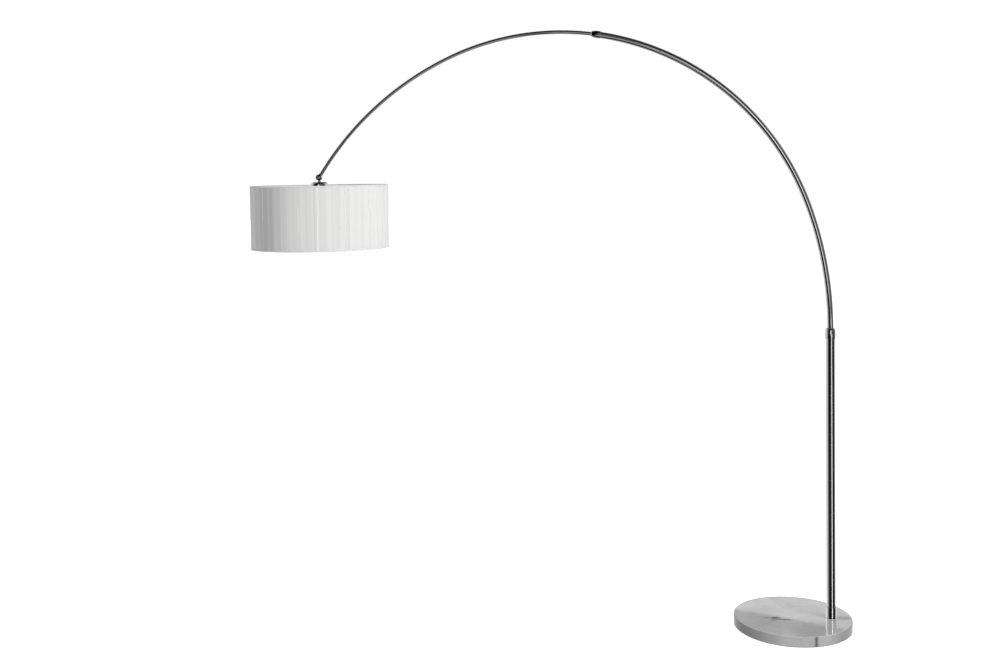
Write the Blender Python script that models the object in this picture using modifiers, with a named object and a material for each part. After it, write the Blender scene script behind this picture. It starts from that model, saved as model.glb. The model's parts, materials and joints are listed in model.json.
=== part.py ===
"""Arc floor lamp: marble foot, chrome post, two telescoping bent tubes and a drum shade.

Metres, +Z up. The origin is the centre of the foot on the floor. The post stands at +X and the
arm reaches out over the foot towards -X, in the plane Y = 0.
"""
import bmesh
import bpy
from math import asin, atan2, cos, pi, radians, sin
from mathutils import Matrix, Vector

GAP = 0.0003             # air between pieces that touch on the real lamp

# ---- foot -------------------------------------------------------------------------------------
FOOT_R = 0.200
FOOT_TOP = 0.037
FELT_T = 0.002
FELT_R = 0.195
POST_X = 0.129           # post axis, off centre so the slab counterweights the arm
RECESS_R = 0.030
RECESS_DEPTH = 0.014
CHANNEL_W = 0.009        # channel for the flex, from the recess to the rear edge
CHANNEL_LENGTH = 0.110
CHANNEL_START = 0.020
CHANNEL_AZIMUTH = radians(35)
GROMMET_START = 0.064
BORE_R = 0.0085          # hole for the stud through the slab and its washers
STUD_TOP = 0.075
WASHER_T = 0.003
SPRING_WASHER_T = 0.0022
PLUG_TOP = 0.085

# ---- post -------------------------------------------------------------------------------------
POST_R = 0.016
POST_WALL = 0.002
POST_TOP = 1.0235
COLLAR_R = 0.018
FOOT_COLLAR_H = 0.040
TOP_COLLAR_LOW = 1.005
TOP_COLLAR_HIGH = 1.041

# ---- lower bent tube (the arm) and upper bent tube (the rod) ------------------------------------
ARM_R = 0.011
ARM_WALL = 0.0015
ARM_FOOT_Z = 0.660       # lower end of the arm, inside the post
ROD_R = 0.0065
ROD_WALL = 0.001
BEND_Z = 1.0435          # the arm is straight below this height
LOW_BEND_R = 1.254
LOW_BEND_TURN = radians(20.16)
MAIN_BEND_R = 0.9174
MAIN_BEND_TURN = radians(93.3)
BEND_STEP = radians(2.5)
ARM_END = radians(80.5)  # heading of the arm's mouth on the main bend, from vertical
ROD_START = radians(50)  # heading of the rod's inner end, inside the arm
TUBE_SIDES = 16
ROD_SIDES = 12

# ---- knuckle ----------------------------------------------------------------------------------
PIVOT_REACH = 1.796      # post axis to knuckle pivot
PIVOT_Z = 1.580
CHEEK_R = 0.011
CHEEK_Y = 0.008          # outer face of a cheek
CHEEK_INNER_Y = 0.0006
SHOULDER_FROM = 0.012    # distances from the pivot, back along the rod
SHOULDER_TO = 0.017
PLUG_TO = 0.035
NECK_R = 0.0045
STUD_R = 0.0048

# ---- shade ------------------------------------------------------------------------------------
SHADE_R = 0.250
SHADE_TOP = 1.552
SHADE_H = 0.230
WRAP_T = 0.0012
LINER_T = 0.0006
TRIM_T = 0.0006
TRIM_H = 0.0055
WIRE_R = 0.002
SEAM_AZIMUTH = radians(-76)
SHADE_STEPS = 64

# ---- lampholder and canopy ------------------------------------------------------------------------
CANOPY_TOP = 1.564
CANOPY_BOTTOM = 1.541
CANOPY_R = 0.032
PLATE_Z = 1.5287         # middle of the shade frame's centre plate
HOLDER_BOTTOM = 1.504

POST_AXIS = Vector((POST_X, 0, 0))
PIVOT = Vector((POST_X - PIVOT_REACH, 0, PIVOT_Z))
SHADE_X = PIVOT.x

for old in list(bpy.data.objects):
    bpy.data.objects.remove(old, do_unlink=True)

parts = bpy.data.collections.new("arc_floor_lamp")
cutters = bpy.data.collections.new("cutters")
bpy.context.scene.collection.children.link(parts)
bpy.context.scene.collection.children.link(cutters)


# ---- materials --------------------------------------------------------------------------------
def surface(name, colour, roughness, metallic):
    material = bpy.data.materials.new(name)
    material.use_nodes = True
    shader = material.node_tree.nodes["Principled BSDF"]
    shader.inputs["Base Color"].default_value = (*colour, 1)
    shader.inputs["Roughness"].default_value = roughness
    shader.inputs["Metallic"].default_value = metallic
    material.diffuse_color = (*colour, 1)
    return material


LOOKS = {
    "marble": ((0.74, 0.74, 0.73), 0.12, 0.0),
    "felt": ((0.05, 0.05, 0.05), 0.95, 0.0),
    "chrome": ((0.62, 0.62, 0.63), 0.08, 1.0),
    "zinc": ((0.55, 0.56, 0.57), 0.35, 1.0),
    "nylon": ((0.80, 0.79, 0.75), 0.50, 0.0),
    "black_rubber": ((0.03, 0.03, 0.03), 0.80, 0.0),
    "black_plastic": ((0.02, 0.02, 0.02), 0.35, 0.0),
    "porcelain": ((0.86, 0.85, 0.82), 0.30, 0.0),
    "brass": ((0.72, 0.56, 0.27), 0.30, 1.0),
    "white_laminate": ((0.86, 0.86, 0.85), 0.45, 0.0),
    "white_thread": ((0.83, 0.83, 0.82), 0.75, 0.0),
    "white_tape": ((0.78, 0.78, 0.77), 0.70, 0.0),
    "white_wire": ((0.80, 0.80, 0.80), 0.40, 0.6),
    "opal_glass": ((0.92, 0.92, 0.90), 0.25, 0.0),
}


# ---- building blocks --------------------------------------------------------------------------
def pivot_empty(name, place):
    empty = bpy.data.objects.new(name, None)
    empty.location = place
    parts.objects.link(empty)
    return empty


def finish_part(obj, look, parent):
    """Give a part a material of its own and hang it on its joint's empty."""
    obj.data.materials.clear()
    obj.data.materials.append(surface(obj.name, *LOOKS[look]))
    obj.parent = parent
    obj.matrix_parent_inverse = Matrix.Translation(-parent.location)
    return obj


def add_mesh(name, bm, collection=parts):
    mesh = bpy.data.meshes.new(name)
    bm.to_mesh(mesh)
    bm.free()
    obj = bpy.data.objects.new(name, mesh)
    collection.objects.link(obj)
    return obj


def as_cutter(obj):
    parts.objects.unlink(obj)
    cutters.objects.link(obj)
    obj.hide_render = True
    obj.display_type = "WIRE"
    return obj


def profile_object(name, profile, closed, steps):
    """Turn a profile of (radius, height) points about the object's Z axis."""
    bm = bmesh.new()
    points = [bm.verts.new((r, 0, z)) for r, z in profile]
    for a, b in zip(points, points[1:]):
        bm.edges.new((a, b))
    if closed:
        bm.edges.new((points[-1], points[0]))
    obj = add_mesh(name, bm)
    screw = obj.modifiers.new("turn", "SCREW")
    screw.steps = steps
    screw.render_steps = steps
    screw.use_merge_vertices = True
    screw.merge_threshold = 0.00001
    screw.use_smooth_shade = True
    return obj


def aim(obj, place, axis=(0, 0, 1)):
    """Put the object at a place, with its Z axis along the given direction."""
    obj.location = place
    obj.rotation_euler = Vector((0, 0, 1)).rotation_difference(Vector(axis)).to_euler()
    return obj


def solid_bar(name, radius, low, high, place, axis=(0, 0, 1), steps=24):
    profile = [(0, high), (radius, high), (radius, low), (0, low)]
    return aim(profile_object(name, profile, False, steps), place, axis)


def sleeve(name, outer, inner, low, high, place, axis=(0, 0, 1), steps=32):
    profile = [(outer, high), (outer, low), (inner, low), (inner, high)]
    return aim(profile_object(name, profile, True, steps), place, axis)


def turned_shell(name, profile, thickness, place, steps=32):
    """An open profile, turned and thickened inwards."""
    obj = aim(profile_object(name, profile, False, steps), place)
    shell = obj.modifiers.new("wall", "SOLIDIFY")
    shell.thickness = thickness
    shell.offset = -1
    shell.use_even_offset = True
    return obj


def block(name, size, place, turn=0.0, axis="Y"):
    bm = bmesh.new()
    bmesh.ops.create_cube(bm, size=1, matrix=Matrix.Diagonal((*size, 1)))
    obj = add_mesh(name, bm)
    obj.matrix_world = Matrix.Translation(place) @ Matrix.Rotation(turn, 4, axis)
    return obj


def hexagon(name, across_flats, low, high, place, axis=(0, 0, 1)):
    bm = bmesh.new()
    corner = across_flats / 2 / cos(pi / 6)
    middle = Matrix.Translation((0, 0, (low + high) / 2))
    bmesh.ops.create_cone(bm, cap_ends=True, segments=6, radius1=corner, radius2=corner,
                          depth=high - low, matrix=middle)
    return aim(add_mesh(name, bm), place, axis)


def combine(obj, other, operation):
    boolean = obj.modifiers.new(other.name, "BOOLEAN")
    boolean.operation = operation
    boolean.solver = "EXACT"
    boolean.object = as_cutter(other)
    return obj


def cut(obj, tool):
    return combine(obj, tool, "DIFFERENCE")


def join(obj, other):
    return combine(obj, other, "UNION")


def wire_mesh(name, points, radius, sides, capped, collection=parts):
    """A bent tube or wire along points: a bevelled curve made into a mesh."""
    curve = bpy.data.curves.new(name, "CURVE")
    curve.dimensions = "3D"
    curve.bevel_depth = radius
    curve.bevel_resolution = (sides - 4) // 2
    curve.use_fill_caps = capped
    spline = curve.splines.new("POLY")
    spline.points.add(len(points) - 1)
    for point, place in zip(spline.points, points):
        point.co = (*place, 1)
    source = bpy.data.objects.new(name + "_path", curve)
    parts.objects.link(source)
    bpy.context.view_layer.update()
    evaluated = source.evaluated_get(bpy.context.evaluated_depsgraph_get())
    mesh = bpy.data.meshes.new_from_object(evaluated)
    bm = bmesh.new()
    bm.from_mesh(mesh)
    bmesh.ops.remove_doubles(bm, verts=bm.verts, dist=0.00001)
    for face in bm.faces:
        face.smooth = True
    bm.to_mesh(mesh)
    bm.free()
    obj = bpy.data.objects.new(name, mesh)
    obj.matrix_world = source.matrix_world
    collection.objects.link(obj)
    bpy.data.objects.remove(source, do_unlink=True)
    return obj


def bent_tube(name, points, outer, wall, sides):
    obj = wire_mesh(name, points, outer, sides, False)
    shell = obj.modifiers.new("wall", "SOLIDIFY")
    shell.thickness = wall
    shell.offset = -1
    shell.use_even_offset = True
    return obj


# ---- the arm's centre line ----------------------------------------------------------------------
# Reach s runs from the post towards -X. A heading is the angle of travel from vertical, and a bend
# with centre (s, z) passes the point centre + R * (-cos(heading), sin(heading)).
def on_bend(centre, bend_r, heading):
    return Vector((centre[0] - bend_r * cos(heading), centre[1] + bend_r * sin(heading)))


def next_centre(point, bend_r, heading):
    return Vector((point[0] + bend_r * cos(heading), point[1] - bend_r * sin(heading)))


def to_world(point):
    return Vector((POST_X - point[0], 0, point[1]))


MAIN_START = LOW_BEND_TURN
MAIN_END = MAIN_START + MAIN_BEND_TURN
LOW_CENTRE = Vector((LOW_BEND_R, BEND_Z))
MAIN_CENTRE = next_centre(on_bend(LOW_CENTRE, LOW_BEND_R, MAIN_START), MAIN_BEND_R, MAIN_START)
TIP_START = on_bend(MAIN_CENTRE, MAIN_BEND_R, MAIN_END)
# the last bend leaves the main one without a kink and runs into the knuckle's pivot
TO_PIVOT = Vector((PIVOT_REACH, PIVOT_Z)) - TIP_START
TIP_TURN = 2 * (atan2(-TO_PIVOT.y, TO_PIVOT.x) - (MAIN_END - pi / 2))
TIP_BEND_R = TO_PIVOT.length / 2 / sin(TIP_TURN / 2)
TIP_CENTRE = next_centre(TIP_START, TIP_BEND_R, MAIN_END)
ROD_END = MAIN_END + TIP_TURN - 2 * asin((SHOULDER_TO + GAP) / 2 / TIP_BEND_R)


def bend_points(centre, bend_r, start, end, step=BEND_STEP):
    """Points along one bend, from one heading to another, without the first."""
    count = max(1, round((end - start) / step))
    headings = [start + (end - start) * i / count for i in range(1, count + 1)]
    return [to_world(on_bend(centre, bend_r, h)) for h in headings]


def direction(heading):
    return Vector((-sin(heading), 0, cos(heading)))


def main_bend_stretch(start, end):
    first = to_world(on_bend(MAIN_CENTRE, MAIN_BEND_R, start))
    return [first] + bend_points(MAIN_CENTRE, MAIN_BEND_R, start, end)


foot = pivot_empty("foot_frame", Vector((0, 0, 0)))
swivel_axis = pivot_empty("swivel_axis", POST_AXIS + Vector((0, 0, POST_TOP)))
arm_frame = pivot_empty("arm_frame", POST_AXIS + Vector((0, 0, BEND_Z)))
extend_axis = pivot_empty("extend_axis", to_world(MAIN_CENTRE))
tilt_axis = pivot_empty("tilt_axis", PIVOT)


# ---- foot -------------------------------------------------------------------------------------
def make_marble_base():
    low = FELT_T + GAP
    slab = solid_bar("marble_base", FOOT_R, low, FOOT_TOP, (0, 0, 0), steps=72)
    bevel = slab.modifiers.new("polished_edge", "BEVEL")
    bevel.width = 0.003
    bevel.segments = 3
    bevel.limit_method = "ANGLE"
    bevel.angle_limit = radians(40)
    roof = low + RECESS_DEPTH
    above = FOOT_TOP + 0.010
    bore_and_recess = [(0, above), (BORE_R, above), (BORE_R, roof), (RECESS_R, roof),
                       (RECESS_R, low - 0.001), (0, low - 0.001)]
    cut(slab, aim(profile_object("cut_anchor_recess", bore_and_recess, False, 32), POST_AXIS))
    away = Vector((cos(CHANNEL_AZIMUTH), sin(CHANNEL_AZIMUTH), 0))
    middle = POST_AXIS + away * (CHANNEL_LENGTH / 2 + CHANNEL_START)
    middle.z = low + CHANNEL_W / 2 - 0.0005
    size = (CHANNEL_LENGTH, CHANNEL_W, CHANNEL_W + 0.001)
    cut(slab, block("cut_cord_channel", size, middle, CHANNEL_AZIMUTH, "Z"))
    finish_part(slab, "marble", foot)


def make_base_felt():
    felt = solid_bar("base_felt", FELT_R, 0, FELT_T, (0, 0, 0), steps=48)
    cut(felt, solid_bar("cut_felt_hole", RECESS_R + 0.002, -0.001, 0.005, POST_AXIS))
    finish_part(felt, "felt", foot)


def make_anchor():
    """The post is pulled down on the slab by a hollow stud, through which the flex would run."""
    top = FELT_T + GAP + RECESS_DEPTH - GAP
    washer = sleeve("anchor_washer", 0.0250, BORE_R, top - WASHER_T, top, POST_AXIS)
    finish_part(washer, "zinc", foot)
    top -= WASHER_T + GAP
    spring = sleeve("anchor_spring_washer", 0.0135, BORE_R, top - SPRING_WASHER_T, top, POST_AXIS,
                    steps=24)
    slit_size = (0.010, 0.0016, 0.01)
    slit_place = POST_AXIS + Vector((0.012, 0, top))
    cut(spring, block("cut_spring_slit", slit_size, slit_place, radians(20), "X"))
    finish_part(spring, "zinc", foot)
    top -= SPRING_WASHER_T + GAP
    nut = hexagon("anchor_nut", 0.024, 0.0030, top, POST_AXIS)
    cut(nut, solid_bar("cut_nut_bore", 0.0084, 0, 0.02, POST_AXIS))
    finish_part(nut, "zinc", foot)
    stud = sleeve("anchor_stud", 0.0080, 0.0050, 0.0028, STUD_TOP, POST_AXIS, steps=24)
    finish_part(stud, "zinc", foot)
    plug = sleeve("post_foot_plug", POST_R - POST_WALL - 0.0004, BORE_R - 0.0001, FOOT_TOP + GAP,
                  PLUG_TOP, POST_AXIS)
    finish_part(plug, "zinc", foot)


def make_cord_grommet():
    away = Vector((cos(CHANNEL_AZIMUTH), sin(CHANNEL_AZIMUTH), 0))
    place = POST_AXIS + away * GROMMET_START + Vector((0, 0, FELT_T + GAP + CHANNEL_W / 2))
    grommet = sleeve("cord_grommet", 0.0042, 0.0032, 0, 0.012, place, away, steps=24)
    finish_part(grommet, "black_rubber", foot)


# ---- post -------------------------------------------------------------------------------------
def make_post():
    tube = sleeve("post_tube", POST_R, POST_R - POST_WALL, FOOT_TOP + GAP, POST_TOP, POST_AXIS)
    finish_part(tube, "chrome", foot)
    low = FOOT_TOP + GAP
    high = low + FOOT_COLLAR_H
    bore = POST_R + GAP
    profile = [(COLLAR_R - 0.0012, high), (COLLAR_R, high - 0.0012), (COLLAR_R, low), (bore, low),
               (bore, high)]
    collar = aim(profile_object("foot_collar", profile, True, 32), POST_AXIS)
    finish_part(collar, "chrome", foot)


def dome_points(base_r, top_r, low, high, count):
    """A quarter-ellipse edge from the top of a dome down to its side."""
    quarter = [pi / 2 * i / count for i in range(count + 1)]
    return [(top_r + (base_r - top_r) * sin(a), low + (high - low) * cos(a)) for a in quarter]


def make_post_collar():
    rim = TOP_COLLAR_HIGH
    profile = dome_points(COLLAR_R, 0.0125, rim - 0.010, rim, 5)
    bore = ARM_R + 0.0005
    step = POST_TOP + GAP
    profile += [(COLLAR_R, TOP_COLLAR_LOW), (POST_R + GAP, TOP_COLLAR_LOW), (POST_R + GAP, step)]
    profile += [(bore, step), (bore, rim)]
    collar = aim(profile_object("post_top_collar", profile, True, 32), POST_AXIS)
    height = step + 0.0035
    cut(collar, solid_bar("cut_post_screw", 0.0022, 0, 0.03, POST_AXIS + Vector((0, 0, height)),
                          (0, 1, 0), steps=16))
    finish_part(collar, "chrome", foot)
    screw = grub_screw("post_collar_screw", ARM_R + 0.0004, COLLAR_R - 0.0008,
                       POST_AXIS + Vector((0, 0, height)), (0, 1, 0))
    finish_part(screw, "zinc", foot)


def grub_screw(name, tip, end, place, axis):
    screw = solid_bar(name, 0.0019, tip, end, place, axis, steps=16)
    return cut(screw, hexagon("cut_" + name, 0.0016, end - 0.002, end + 0.001, place, axis))


def make_swivel_bush():
    """Nylon bush in the mouth of the post: it turns with the arm, which slides through it."""
    bush = sleeve("post_guide_bush", POST_R - POST_WALL - 0.0004, ARM_R + 0.0005, 0.975,
                  POST_TOP - 0.001, POST_AXIS)
    finish_part(bush, "nylon", swivel_axis)


# ---- arm --------------------------------------------------------------------------------------
def make_arm():
    points = [POST_AXIS + Vector((0, 0, ARM_FOOT_Z)), POST_AXIS + Vector((0, 0, BEND_Z))]
    points += bend_points(LOW_CENTRE, LOW_BEND_R, 0, MAIN_START)
    points += bend_points(MAIN_CENTRE, MAIN_BEND_R, MAIN_START, ARM_END)
    finish_part(bent_tube("arm_tube", points, ARM_R, ARM_WALL, TUBE_SIDES), "chrome", arm_frame)
    glide = sleeve("arm_foot_glide", POST_R - POST_WALL - 0.0006, ARM_R + GAP, ARM_FOOT_Z,
                   ARM_FOOT_Z + 0.020, POST_AXIS)
    finish_part(glide, "nylon", arm_frame)


def make_arm_collar():
    """Collar over the arm's mouth, tapering down to the rod."""
    place = to_world(on_bend(MAIN_CENTRE, MAIN_BEND_R, ARM_END))
    ahead = direction(ARM_END)
    half = 0.0165
    rod_bore = ROD_R + 0.0009
    arm_bore = ARM_R + 0.0004
    profile = [(0.0082, half), (0.0102, half - 0.003), (0.0130, 0.002), (0.0130, -half + 0.001),
               (0.0125, -half), (arm_bore, -half), (arm_bore, GAP), (rod_bore, GAP),
               (rod_bore, half)]
    collar = aim(profile_object("arm_end_collar", profile, True, 24), place, ahead)
    screw_place = place + ahead * 0.0035
    cut(collar, solid_bar("cut_arm_screw", 0.0022, 0, 0.02, screw_place, (0, 1, 0), steps=16))
    finish_part(collar, "chrome", arm_frame)
    screw = grub_screw("arm_collar_screw", ROD_R + 0.0004, 0.0120, screw_place, (0, 1, 0))
    finish_part(screw, "zinc", arm_frame)
    length = 0.040 / MAIN_BEND_R
    slack = 0.0005 / MAIN_BEND_R
    stretch = main_bend_stretch(ARM_END - length, ARM_END - slack)
    bush = bent_tube("rod_guide_bush", stretch, 0.0089, 0.0016, TUBE_SIDES)
    finish_part(bush, "nylon", arm_frame)


# ---- rod and knuckle ------------------------------------------------------------------------------
def make_rod():
    points = main_bend_stretch(ROD_START, MAIN_END)
    points += bend_points(TIP_CENTRE, TIP_BEND_R, MAIN_END, ROD_END)
    finish_part(bent_tube("rod_tube", points, ROD_R, ROD_WALL, ROD_SIDES), "chrome", extend_axis)
    stretch = main_bend_stretch(ROD_START, ROD_START + 0.020 / MAIN_BEND_R)
    glide = bent_tube("rod_inner_glide", stretch, 0.0087, 0.0018, TUBE_SIDES)
    finish_part(glide, "nylon", extend_axis)


def make_knuckle_upper():
    back = -direction(ROD_END)
    across = (0, 1, 0)
    cheek = solid_bar("knuckle_upper", CHEEK_R, -CHEEK_Y, -CHEEK_INNER_Y, PIVOT, across, steps=32)
    depth = CHEEK_Y - 0.002 - CHEEK_INNER_Y
    reach = SHOULDER_FROM + 0.001
    middle = PIVOT + back * (reach / 2) + Vector((0, -CHEEK_INNER_Y - depth / 2, 0))
    slope = atan2(back.x, back.z)
    join(cheek, block("join_upper_tongue", (0.0110, depth, reach), middle, slope))
    join(cheek, solid_bar("join_shoulder", ROD_R, SHOULDER_FROM, SHOULDER_TO, PIVOT, back))
    join(cheek, solid_bar("join_plug", 0.0049, SHOULDER_TO - 0.001, PLUG_TO, PIVOT, back, steps=12))
    cut(cheek, solid_bar("cut_upper_pin_hole", 0.0028, -0.012, 0.012, PIVOT, across))
    finish_part(cheek, "chrome", extend_axis)


def make_knuckle_fasteners():
    across = (0, 1, 0)
    head = CHEEK_Y + GAP
    rim = 0.0012
    dome = dome_points(0.0060, 0, head + rim, head + 0.0032, 5)
    profile = [(r, z) for r, z in dome] + [(0.0060, head), (0.0025, head), (0.0025, -0.0125),
                                           (0, -0.0125)]
    screw = aim(profile_object("knuckle_screw", profile, False, 24), PIVOT, (0, -1, 0))
    finish_part(screw, "chrome", extend_axis)
    washer = sleeve("knuckle_friction_washer", 0.0090, 0.0030, -GAP, GAP, PIVOT, across, steps=24)
    finish_part(washer, "nylon", extend_axis)
    nut = hexagon("knuckle_nut", 0.0090, CHEEK_Y + GAP, 0.0122, PIVOT, across)
    cut(nut, solid_bar("cut_knuckle_nut", 0.0028, 0, 0.02, PIVOT, across))
    finish_part(nut, "chrome", extend_axis)


def make_knuckle_lower():
    """Cheek, neck and hollow stud in one piece: it carries the canopy and the lampholder."""
    cheek = solid_bar("knuckle_lower", CHEEK_R, CHEEK_INNER_Y, CHEEK_Y, PIVOT, (0, 1, 0), steps=32)
    neck_top = -CHEEK_R - 0.0008
    seat = CANOPY_TOP + GAP - PIVOT_Z
    foot_z = 1.546 - PIVOT_Z
    depth = NECK_R - CHEEK_INNER_Y
    reach = 0.014
    middle = PIVOT + Vector((0, CHEEK_INNER_Y + depth / 2, -reach / 2))
    join(cheek, block("join_lower_tongue", (0.0078, depth, reach), middle))
    profile = [(0, neck_top), (NECK_R, neck_top), (NECK_R, seat + 0.0020), (0.0065, seat + 0.0014),
               (0.0065, seat), (STUD_R, seat), (STUD_R, foot_z), (0, foot_z)]
    join(cheek, aim(profile_object("join_neck", profile, False, 24), PIVOT))
    cut(cheek, solid_bar("cut_lower_pin_hole", 0.0028, -0.012, 0.012, PIVOT, (0, 1, 0)))
    cut(cheek, solid_bar("cut_flex_bore", 0.0028, foot_z - 0.001, seat, PIVOT, steps=16))
    finish_part(cheek, "chrome", tilt_axis)


# ---- canopy and lampholder ------------------------------------------------------------------------
SHADE_AXIS = Vector((SHADE_X, 0, 0))


def make_canopy():
    side_top = CANOPY_BOTTOM + 0.012
    profile = [(STUD_R + 0.0004, CANOPY_TOP)]
    profile += dome_points(CANOPY_R, 0.020, side_top, CANOPY_TOP, 6)
    profile += [(CANOPY_R, CANOPY_BOTTOM)]
    canopy = turned_shell("canopy_cap", profile, 0.001, SHADE_AXIS, steps=40)
    finish_part(canopy, "chrome", tilt_axis)
    top = CANOPY_TOP - 0.001 - GAP
    nut = hexagon("canopy_nut", 0.015, top - 0.003, top, SHADE_AXIS)
    cut(nut, solid_bar("cut_canopy_nut", STUD_R + 0.0003, 1.5, 1.6, SHADE_AXIS))
    finish_part(nut, "zinc", tilt_axis)


def make_lampholder():
    entry = STUD_R + 0.0004
    flange_top = 1.5325
    cap = turned_shell("lampholder_cap",
                       [(entry, 1.5560), (0.0082, 1.5560), (0.0082, 1.5520), (0.0150, 1.5492),
                        (0.0195, 1.5430), (0.0210, flange_top + GAP)],
                       0.0018, SHADE_AXIS)
    finish_part(cap, "black_plastic", tilt_axis)
    profile = [(0.0225, flange_top), (0.0225, 1.5300), (0.0193, 1.5300), (0.0193, HOLDER_BOTTOM),
               (0.0172, HOLDER_BOTTOM), (0.0172, flange_top)]
    skirt = aim(profile_object("lampholder_skirt", profile, True, 32), SHADE_AXIS)
    finish_part(skirt, "black_plastic", tilt_axis)
    insert = sleeve("terminal_block", 0.0168, 0.0020, 1.5295, 1.5390, SHADE_AXIS)
    finish_part(insert, "porcelain", tilt_axis)
    shell = turned_shell("screw_shell", [(0.0060, 1.5290), (0.0145, 1.5290), (0.0145, 1.5060)],
                         0.0005, SHADE_AXIS)
    finish_part(shell, "brass", tilt_axis)
    contact = solid_bar("centre_contact", 0.0035, 1.5262, 1.5290, SHADE_AXIS, steps=16)
    finish_part(contact, "brass", tilt_axis)
    low = PLATE_Z - 0.001 - GAP
    profile = [(0.0270, low), (0.0270, low - 0.0025), (0.0225, low - 0.0035),
               (0.0225, low - 0.0080), (0.0197, low - 0.0080), (0.0197, low)]
    ring = aim(profile_object("shade_ring_nut", profile, True, 32), SHADE_AXIS)
    finish_part(ring, "black_plastic", tilt_axis)


def make_bulb():
    profile = [(0.0118, 1.5180), (0.0118, 1.4995), (0.0129, 1.4975), (0.0180, 1.4840),
               (0.0262, 1.4680), (0.0298, 1.4520), (0.0285, 1.4380), (0.0225, 1.4260),
               (0.0120, 1.4195), (0, 1.4180)]
    glass = turned_shell("bulb_glass", profile, 0.0008, SHADE_AXIS, steps=24)
    finish_part(glass, "opal_glass", tilt_axis)
    sleeve_profile = [(0.0050, 1.5240), (0.0105, 1.5240), (0.0130, 1.5215), (0.0130, 1.4995)]
    cap = turned_shell("bulb_screw_cap", sleeve_profile, 0.0004, SHADE_AXIS, steps=24)
    finish_part(cap, "zinc", tilt_axis)
    contact = aim(profile_object("bulb_contact", [(0, 1.5258), (0.0028, 1.5258), (0.0046, 1.5236),
                                                  (0.0046, 1.5205), (0, 1.5205)], False, 16),
                  SHADE_AXIS)
    finish_part(contact, "porcelain", tilt_axis)


# ---- shade ------------------------------------------------------------------------------------
def wire_ring(name, height):
    centre_r = SHADE_R - WRAP_T - GAP - LINER_T - GAP - WIRE_R
    around = [2 * pi * i / 8 for i in range(8)]
    profile = [(centre_r + WIRE_R * cos(a), height - WIRE_R * sin(a)) for a in around]
    return aim(profile_object(name, profile, True, SHADE_STEPS), SHADE_AXIS)


def make_shade_frame():
    """Top ring, three arms and centre plate, welded into one frame; the bottom ring is loose."""
    top_z = SHADE_TOP - 0.004
    frame = wire_ring("shade_top_frame", top_z)
    ring_r = SHADE_R - WRAP_T - LINER_T - 2 * GAP - WIRE_R
    for i in range(3):
        azimuth = radians(90 + 120 * i)
        out = Vector((cos(azimuth), sin(azimuth), 0))
        route = [(0.0295, PLATE_Z), (0.050, PLATE_Z), (0.225, top_z), (ring_r, top_z)]
        points = [SHADE_AXIS + out * r + Vector((0, 0, z)) for r, z in route]
        join(frame, wire_mesh("join_frame_arm_%d" % (i + 1), points, WIRE_R - 0.0001, 8, True))
    join(frame, sleeve("join_plate", 0.0310, 0.0200, PLATE_Z - 0.001, PLATE_Z + 0.001, SHADE_AXIS))
    finish_part(frame, "white_wire", tilt_axis)
    ring = wire_ring("shade_bottom_ring", SHADE_TOP - SHADE_H + 0.004)
    finish_part(ring, "white_wire", tilt_axis)


def make_shade_skin():
    low = SHADE_TOP - SHADE_H + TRIM_T + GAP
    high = SHADE_TOP - TRIM_T - GAP
    inner = SHADE_R - WRAP_T
    wrap = sleeve("shade_thread_wrap", SHADE_R, inner, low, high, SHADE_AXIS, steps=SHADE_STEPS)
    finish_part(wrap, "white_thread", tilt_axis)
    inner -= GAP
    liner = sleeve("shade_liner", inner, inner - LINER_T, low, high, SHADE_AXIS, steps=SHADE_STEPS)
    finish_part(liner, "white_laminate", tilt_axis)
    outer = SHADE_R + GAP + TRIM_T
    web = inner - LINER_T
    top = [(web, SHADE_TOP), (outer, SHADE_TOP), (outer, SHADE_TOP - TRIM_H)]
    bottom_z = SHADE_TOP - SHADE_H
    bottom = [(outer, bottom_z + TRIM_H), (outer, bottom_z), (web, bottom_z)]
    for name, profile in (("shade_top_trim", top), ("shade_bottom_trim", bottom)):
        trim = turned_shell(name, profile, TRIM_T, SHADE_AXIS, steps=SHADE_STEPS)
        finish_part(trim, "white_tape", tilt_axis)
    out = Vector((cos(SEAM_AZIMUTH), sin(SEAM_AZIMUTH), 0))
    thickness = 0.0006
    middle_z = SHADE_TOP - SHADE_H / 2
    length = SHADE_H - 2 * (TRIM_H + 0.0005)
    place = SHADE_AXIS + out * (SHADE_R + GAP + thickness / 2) + Vector((0, 0, middle_z))
    seam = block("shade_seam_strip", (thickness, 0.0030, length), place, SEAM_AZIMUTH, "Z")
    finish_part(seam, "white_tape", tilt_axis)


make_marble_base()
make_base_felt()
make_anchor()
make_cord_grommet()
make_post()
make_post_collar()
make_swivel_bush()
make_arm()
make_arm_collar()
make_rod()
make_knuckle_upper()
make_knuckle_fasteners()
make_knuckle_lower()
make_canopy()
make_lampholder()
make_bulb()
make_shade_frame()
make_shade_skin()
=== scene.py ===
"""Looks of the arc floor lamp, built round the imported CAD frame.

Metres, in the row frame: the origin is the foot's centre on the floor, the post stands at +X and
the arm reaches out towards -X in the plane Y = 0.
"""

import json
import random
from math import asin, atan2, cos, degrees, pi, radians, sin, sqrt, tan

import bmesh
import bpy
from mathutils import Matrix, Vector


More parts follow.
